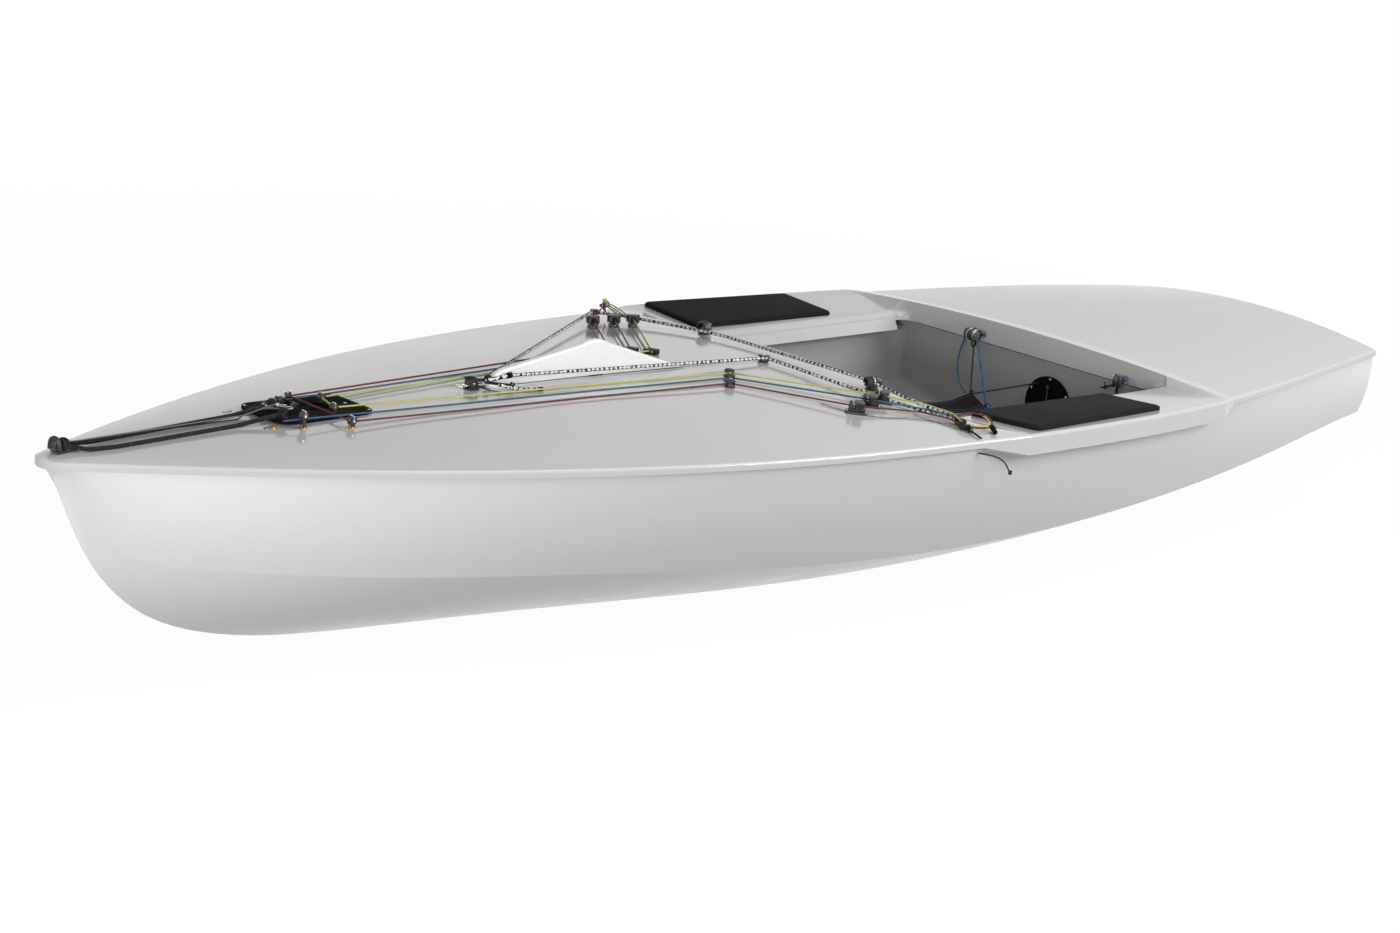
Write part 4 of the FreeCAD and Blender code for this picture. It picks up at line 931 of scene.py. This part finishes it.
whipping(bundle, on_deck(1.866, 0.642, 0.009), on_deck(1.884, 0.670, 0.006), 0.0052, TWINE, 0.0014)
for route in (((2.156, 0.365, 0.002), (2.128, 0.480, 0.002), (1.985, 0.528, 0.002), (1.936, 0.588, 0.003)),
              ((1.985, 0.505, 0.003), (1.968, 0.548, 0.002), (1.950, 0.604, 0.002), (1.934, 0.640, 0.003))):
    bundle.rod(stops(route), 0.0018, GREY_BRAID, sides=2)
bundle.done("port_bundle", sharp=60.0)


# ---------------------------------------------------------------- under the port lip

lip_route = [Vector(point) for point in ((-0.063, 0.670, 0.3415), (-0.087, 0.692, 0.3400),
                                         (-0.124, 0.707, 0.3240), (-0.143, 0.706, 0.2900))]
stopper = Piece()
knot(stopper, lip_route[-1] + Vector((-0.0005, 0, 0.0045)), 0.0095, 0.0028, BLACK_BRAID, 20)
stopper_knot = stopper.done("hanging_cord_knot", sharp=60.0)
free_cord("hanging_cord_braid", "hanging_cord", lip_route, HANGING_CORD, BLACK_BRAID,
          "black_braid")


# ---------------------------------------------------------------- cockpit gear

def strap_block(piece, middle, side):
    """A ball-bearing block on a steel eye strap, bolted to the face under the aft deck."""
    place = middle @ turn("Z", 20 * side) @ turn("Y", 8)
    piece.add(slab(0.003, 0.026, 0.012, 0.0, 0.0009, foot=-0.006), DULL_STEEL, middle @ shift(-0.0072))
    for y in (-0.0098, 0.0098):
        bolt = middle @ shift(-0.0060, y) @ turn("Y", 90)
        piece.add(disc(0.0026, 0.0022, sides=14), DULL_STEEL, bolt)
    eye_strap = ((-0.007, -0.0040, 0.0), (0.002, -0.0046, 0.001), (0.002, 0.0046, 0.001),
                 (-0.007, 0.0040, 0.0))
    piece.rod(eye_strap, 0.0026, DULL_STEEL, middle, sides=2, ease=0.003)
    wheel = place @ shift(0.009, 0, -0.003) @ turn("X", 90)
    for half in (-1, 1):
        cheek = wheel @ shift(0, 0, half * 0.0052)
        piece.add(disc(0.0118, 0.0020, -0.0010, 0.0006), BLACK_NYLON, cheek)
        piece.add(turned(((0.0030, 0.0018), (0.0075, 0.0016), (0.0092, 0.0009)), 24), DULL_STEEL,
                  outward(cheek, half))
        piece.add(disc(0.0032, 0.0026, -0.0013, 0.0005, sides=16), DULL_STEEL, cheek)
    sheave(piece, wheel, 0.0102, 0.0076)
    for half in (-1, 1):
        yoke = ((0.004, half * 0.0072, 0.006), (0.010, half * 0.0078, 0.0115), (0.016, half * 0.0072, 0.006))
        piece.rod(yoke, 0.0022, DULL_STEEL, place, sides=2)
    becket = [(0.010 + 0.0045 * math.cos(a), 0.0, -0.0190 + 0.0060 * math.sin(a)) for a in angles(10)]
    piece.rod(becket, THIN_CORD, BLACK_BRAID, place, sides=3, closed=True)


# The strap's blocks stand this much larger than they are drawn.
STRAP_BLOCK_SIZE = 1.45
STARBOARD_BLOCK = Vector((-1.0075, -0.170, 0.3555))
PORT_BLOCK = Vector((-1.0085, 0.322, 0.3460))
for node, middle, side in (("strap_block_starboard", STARBOARD_BLOCK, -1),
                           ("strap_block_port", PORT_BLOCK, 1)):
    piece = Piece()
    strap_block(piece, Matrix.Translation(middle) @ Matrix.Scale(STRAP_BLOCK_SIZE, 4), side)
    piece.done(node + "_built", slot="black_fitting", replaces=(node,))

STRAP_WIDTH = 0.058
STRAP_THICK = 0.0040
STRAP_CROWN = 0.0014
STITCH = 0.0009
# Distance forward of the origin, middle height and twist in degrees, along the toe strap.
STRAP_ROUTE = (
    (-0.835, 0.2250, 26.0), (-0.808, 0.2220, 23.0), (-0.770, 0.2170, 17.0), (-0.715, 0.2190, 10.0),
    (-0.640, 0.2280, 4.0), (-0.540, 0.2400, 0.5), (-0.400, 0.2560, 0.0), (-0.255, 0.2680, 0.0))


def strap_row(x, z, twist):
    """Points across the strap at one place, over its top and back under."""
    roll = Matrix.Rotation(math.radians(-twist), 3, "X")
    half = STRAP_WIDTH / 2
    row = []
    for face in (1, -1):
        for step in range(9):
            across = half * (1 - step / 4) * face
            crown = STRAP_CROWN * (1 - (across / half) ** 2)
            row.append(Vector((x, 0, z)) + roll @ Vector((0, across, face * STRAP_THICK / 2 + crown)))
    return row


def toe_strap():
    """The padded webbing strap: a crowned band with bound edges, sewn across at its ends."""
    places = []
    for start, end in zip(STRAP_ROUTE, STRAP_ROUTE[1:]):
        for step in range(4):
            places.append(tuple(a + (b - a) * step / 4 for a, b in zip(start, end)))
    places.append(STRAP_ROUTE[-1])
    edge_rows = [strap_row(*stop) for stop in places]

    shape = bmesh.new()
    chart = shape.loops.layers.uv.new("UVMap")
    rows = []
    ways = [0.0]
    for index, points in enumerate(edge_rows):
        if index:
            (x, z), (x_before, z_before) = places[index][:2], places[index - 1][:2]
            ways.append(ways[-1] + math.hypot(x - x_before, z - z_before))
        rows.append([shape.verts.new(point) for point in points])
    count = len(rows[0])
    for index, (row, ahead) in enumerate(zip(rows, rows[1:])):
        for side in range(count):
            after = (side + 1) % count
            face = shape.faces.new((row[side], row[after], ahead[after], ahead[side]))
            chart_corners = ((side, index), (side + 1, index), (side + 1, index + 1), (side, index + 1))
            for corner, (u, v) in zip(face.loops, chart_corners):
                corner[chart].uv = (u / 9, ways[v] / 0.0022)
    for row in (rows[0], rows[-1]):
        shape.faces.new(row)
    bmesh.ops.recalc_face_normals(shape, faces=shape.faces)

    piece = Piece()
    piece.add(shape, STRAP_WEB)
    for edge in (0, 8):
        binding = [(points[edge] + points[17 - edge]) / 2 for points in edge_rows]
        piece.rod(binding, 0.0058, BLACK_BRAID, sides=3)
    for points, inset in ((edge_rows[0], 0.0012), (edge_rows[2], 0.0012), (edge_rows[-1], -0.0012)):
        seam = [point + Vector((inset, 0, 0.0004)) for point in points[:9]]
        piece.rod(seam, 0.0026, BLACK_BRAID, sides=2)
    proud = Vector((0, 0, 0.0002))
    for column in (1, 7):
        for points, ahead in zip(edge_rows, edge_rows[1:]):
            for share in (0.1, 0.6):
                stitch = [points[column].lerp(ahead[column], share) + proud,
                          points[column].lerp(ahead[column], share + 0.3) + proud]
                piece.rod(stitch, STITCH, GREY_BRAID, sides=1)
    made = piece.done("toe_strap_webbing", slot="webbing", replaces=("toe_strap",), sharp=60.0)
    return made


toe_strap()
FAR_CORNER = Vector((-0.835, -0.0265, 0.2380))
NEAR_CORNER = Vector((-0.835, 0.0265, 0.2125))


def beside(middle, *steps):
    """Points at small steps from a block or a corner."""
    return [middle + Vector(step) for step in steps]


line("strap_shock_cord", beside(STARBOARD_BLOCK, (0.012, 0, -0.028)) + [FAR_CORNER], 0.0042, BLACK_BRAID)
line("strap_hatch_cord", beside(FAR_CORNER, (0.004, 0.004, 0)) + [Vector((-1.020, 0.050, 0.268))], 0.0040,
     BLACK_BRAID)
line("strap_lift_line",
     beside(STARBOARD_BLOCK, (0.014, 0.006, 0.004)) + beside(NEAR_CORNER, (-0.004, 0, 0.012)),
     ADJUSTER_LINE, BLUE_FLECK)

adjuster_route = [Vector(point) for point in (
    (-1.012, -0.219, 0.3250), (-0.986, -0.208, 0.3060), (-0.948, -0.180, 0.2720), (-0.908, -0.136, 0.2460),
    (-0.874, -0.092, 0.2340), (-0.853, -0.059, 0.2310))]
free_cord("adjuster_line_braid", "adjuster_line", adjuster_route, ADJUSTER_LINE,
          BLUE_FLECK, "blue_braid")

ends = Piece()
over_block = (beside(STARBOARD_BLOCK, (0.008, -0.004, 0.010))
              + [Vector((-1.000, -0.204, 0.3640)), Vector((-1.010, -0.222, 0.3480))]
              + beside(adjuster_route[0], (0.0005, 0.0005, -0.001)))
ends.rod(over_block, ADJUSTER_LINE, BLUE_FLECK)
knot(ends, NEAR_CORNER + Vector((-0.006, 0.004, 0.004)), 0.020, ADJUSTER_LINE, BLUE_FLECK)
knot(ends, FAR_CORNER + Vector((-0.002, 0.002, 0.003)), 0.014, TAIL_LINE, BLACK_BRAID, 30)
ends.rod(beside(NEAR_CORNER, (-0.008, 0.006, 0.002), (-0.020, 0.026, -0.012), (-0.016, 0.050, -0.030)),
         ADJUSTER_LINE, BLUE_FLECK)
ends.rod(beside(PORT_BLOCK, (0.012, 0.006, 0.008), (0.022, 0.034, 0.010), (0.028, 0.062, -0.008),
                (0.030, 0.084, -0.042)), ADJUSTER_LINE, BLUE_FLECK)
ends.rod(beside(PORT_BLOCK, (0.010, -0.002, -0.016), (0.014, -0.022, -0.026), (0.016, -0.044, -0.034)),
         0.0040, BLACK_BRAID, sides=3)
ends.rod(beside(PORT_BLOCK, (0.014, -0.034, -0.030), (0.015, -0.036, -0.016)), 0.0028, BLACK_BRAID, sides=2)
knot(ends, PORT_BLOCK + Vector((0.014, -0.032, -0.031)), 0.011, 0.0032, BLACK_BRAID)
ends.done("strap_line_ends", sharp=60.0)

# A dark line painted as the shadow under the deck moulding's face, where it meets the tub's aft wall.
SHADOW_LINE_HALF_LENGTH = 0.405
joint_shadow_line = Piece()
joint_shadow_line.rod([(-1.0205, -SHADOW_LINE_HALF_LENGTH, 0.3318), (-1.0205, SHADOW_LINE_HALF_LENGTH, 0.3318)], 0.0022, TWINE,
            sides=2)
joint_shadow_line.done("aft_joint_shadow_line")

HATCH_Y = 0.078
HATCH_Z = 0.213
HATCH_BOLT_CIRCLE = 0.069
RING_FACE = -1.029
GRIP_FACE = -1.0240
rim = Piece()
for angle in angles(6, first=0.5):
    spot = (RING_FACE, HATCH_Y + HATCH_BOLT_CIRCLE * math.cos(angle),
            HATCH_Z + HATCH_BOLT_CIRCLE * math.sin(angle))
    screw(rim, Matrix.Translation(spot) @ turn("Y", 90), 0.0032)
rim.done("hatch_ring_screws", slot="black_fitting")
grip = Piece()
grip.add(slab(0.0012, 0.0034, 0.100, foot=-0.050), GREY_NYLON,
         Matrix.Translation((GRIP_FACE, HATCH_Y, HATCH_Z)))
grip.add(disc(0.0050, 0.0022, sides=18), GREY_NYLON,
         Matrix.Translation((GRIP_FACE - 0.0006, HATCH_Y, HATCH_Z + 0.049)) @ turn("Y", 90))
grip.done("hatch_grip_mark", body="hatch", slot="black_fitting")

GUDGEON_HEIGHTS = (0.343, 0.127)
bolts = Piece()
for height in GUDGEON_HEIGHTS:
    for y in (-0.0165, 0.0165):
        head = Matrix.Translation((-2.0030, y, height)) @ turn("Y", -90)
        bolts.add(disc(0.0032, 0.0026, sides=6), STEEL, head)
bolts.done("gudgeon_bolts", slot="stainless")


# ---------------------------------------------------------------- hiking pads

PAD_RIM = 0.0035


def pad(node, name):
    """A flat foam pad: rounded outline and eased rim, glued to the side deck."""
    shape = bmesh.new()
    shape.from_mesh(NODES[node].data)
    bmesh.ops.remove_doubles(shape, verts=shape.verts, dist=1e-5)
    bmesh.ops.dissolve_limit(shape, angle_limit=math.radians(1.0), verts=shape.verts, edges=shape.edges)
    top = max(shape.faces, key=lambda face: face.calc_area() * max(face.normal.z, 0))
    bmesh.ops.bevel(shape, geom=list(top.edges), offset=PAD_RIM, segments=4, profile=0.5,
                    affect="EDGES", material=-1)
    piece = Piece()
    piece.add(shape, PAD_FOAM)
    made = piece.done(name, slot="foam", replaces=(node,), sharp=50.0)
    return made


pad("hiking_pad_port", "hiking_pad_port_foam")
pad("hiking_pad_starboard", "hiking_pad_starboard_foam")


# ---------------------------------------------------------------- floor, light and camera

def seen_straight(tree):
    """One where the view, a reflection or clear glass looks straight at the white, else nought."""
    path = join_node(tree, "ShaderNodeLightPath").outputs
    first = join_node(tree, "ShaderNodeMath", {0: path["Is Camera Ray"], 1: path["Is Glossy Ray"]},
                      operation="MAXIMUM")
    both = join_node(tree, "ShaderNodeMath", {0: first.outputs[0], 1: path["Is Transmission Ray"]},
                     operation="MAXIMUM")
    return both.outputs[0]


FLOOR_GAP = 0.001
FLOOR_REACH = 40.0
FLOOR_BOUNCE = 0.08
FLOOR_GLOW_NEAR = 0.95
GLOW_RISES_FROM = 2.6
GLOW_FULL_AT = 6.0
floor_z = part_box("hull")[0].z - FLOOR_GAP
floor_mesh = bpy.data.meshes.new("floor")
floor_shape = bmesh.new()
bmesh.ops.create_grid(floor_shape, x_segments=1, y_segments=1, size=FLOOR_REACH)
bmesh.ops.translate(floor_shape, vec=(0, 0, floor_z), verts=floor_shape.verts)
floor_shape.to_mesh(floor_mesh)
floor_shape.free()
floor = bpy.data.objects.new("floor", floor_mesh)
bpy.context.scene.collection.objects.link(floor)

paper = bpy.data.materials.new("white_floor")
paper.use_nodes = True
tree = paper.node_tree
tree.nodes.remove(tree.nodes["Principled BSDF"])
matt = join_node(tree, "ShaderNodeBsdfDiffuse", {"Color": (FLOOR_BOUNCE, FLOOR_BOUNCE, FLOOR_BOUNCE, 1)})
place = join_node(tree, "ShaderNodeNewGeometry").outputs["Position"]
far_off = join_node(tree, "ShaderNodeVectorMath", {0: place}, operation="LENGTH").outputs["Value"]
rising = join_node(tree, "ShaderNodeMapRange", {
    "Value": far_off, "From Min": GLOW_RISES_FROM, "From Max": GLOW_FULL_AT, "To Min": FLOOR_GLOW_NEAR,
    "To Max": 1.0})
level = join_node(tree, "ShaderNodeMath", {0: seen_straight(tree), 1: rising.outputs["Result"]},
                  operation="MULTIPLY")
glow = join_node(tree, "ShaderNodeEmission", {"Strength": level.outputs[0]})
both = join_node(tree, "ShaderNodeAddShader", {0: matt.outputs[0], 1: glow.outputs[0]})
tree.links.new(both.outputs[0], tree.nodes["Material Output"].inputs["Surface"])
floor_mesh.materials.append(paper)

FILL = 0.06
world = bpy.data.worlds.new("studio")
world.use_nodes = True
bpy.context.scene.world = world
tree = world.node_tree
strength = join_node(tree, "ShaderNodeMapRange", {"Value": seen_straight(tree), "To Min": FILL,
                                                  "To Max": 1.0})
tree.links.new(strength.outputs["Result"], tree.nodes["Background"].inputs["Strength"])
tree.nodes["Background"].inputs["Color"].default_value = (1, 1, 1, 1)


def soft_box(name, place, target, width, height, power):
    """A rectangular studio light aimed at a point."""
    lamp = bpy.data.lights.new(name, "AREA")
    lamp.shape = "RECTANGLE"
    lamp.size = width
    lamp.size_y = height
    lamp.energy = power
    holder = bpy.data.objects.new(name, lamp)
    holder.location = place
    holder.rotation_euler = (Vector(target) - Vector(place)).to_track_quat("-Z", "Y").to_euler()
    bpy.context.scene.collection.objects.link(holder)
    return holder


soft_box("bow_port", (4.8, 2.7, 1.00), (1.9, 0.3, 0.05), 2.2, 1.0, 162)
soft_box("stern_port", (-2.4, 4.1, 2.4), (-0.9, 0.4, 0.15), 3.0, 1.6, 166)
soft_box("overhead", (-0.4, 1.9, 3.0), (-0.2, 0.1, 0.3), 3.8, 1.4, 46)

CAMERA_PLACE = Vector((5.086, 4.980, 2.036))
CAMERA_YAW = math.radians(-134.66)
CAMERA_PITCH = math.radians(-14.98)
CAMERA_ROLL = math.radians(5.44)
LENS = 77.14

forward = Vector((math.cos(CAMERA_PITCH) * math.cos(CAMERA_YAW),
                  math.cos(CAMERA_PITCH) * math.sin(CAMERA_YAW), math.sin(CAMERA_PITCH)))
level = forward.cross(UP).normalized()
lifted = level.cross(forward)
right = level * math.cos(CAMERA_ROLL) + lifted * math.sin(CAMERA_ROLL)
upward = lifted * math.cos(CAMERA_ROLL) - level * math.sin(CAMERA_ROLL)
lens = bpy.data.cameras.new("camera")
lens.lens = LENS
lens.sensor_width = 36.0
lens.sensor_fit = "HORIZONTAL"
camera = bpy.data.objects.new("camera", lens)
pose = Matrix((right, upward, -forward)).transposed().to_4x4()
pose.translation = CAMERA_PLACE
camera.matrix_world = pose
bpy.context.scene.collection.objects.link(camera)
bpy.context.scene.camera = camera
bpy.context.scene.view_settings.view_transform = "Standard"
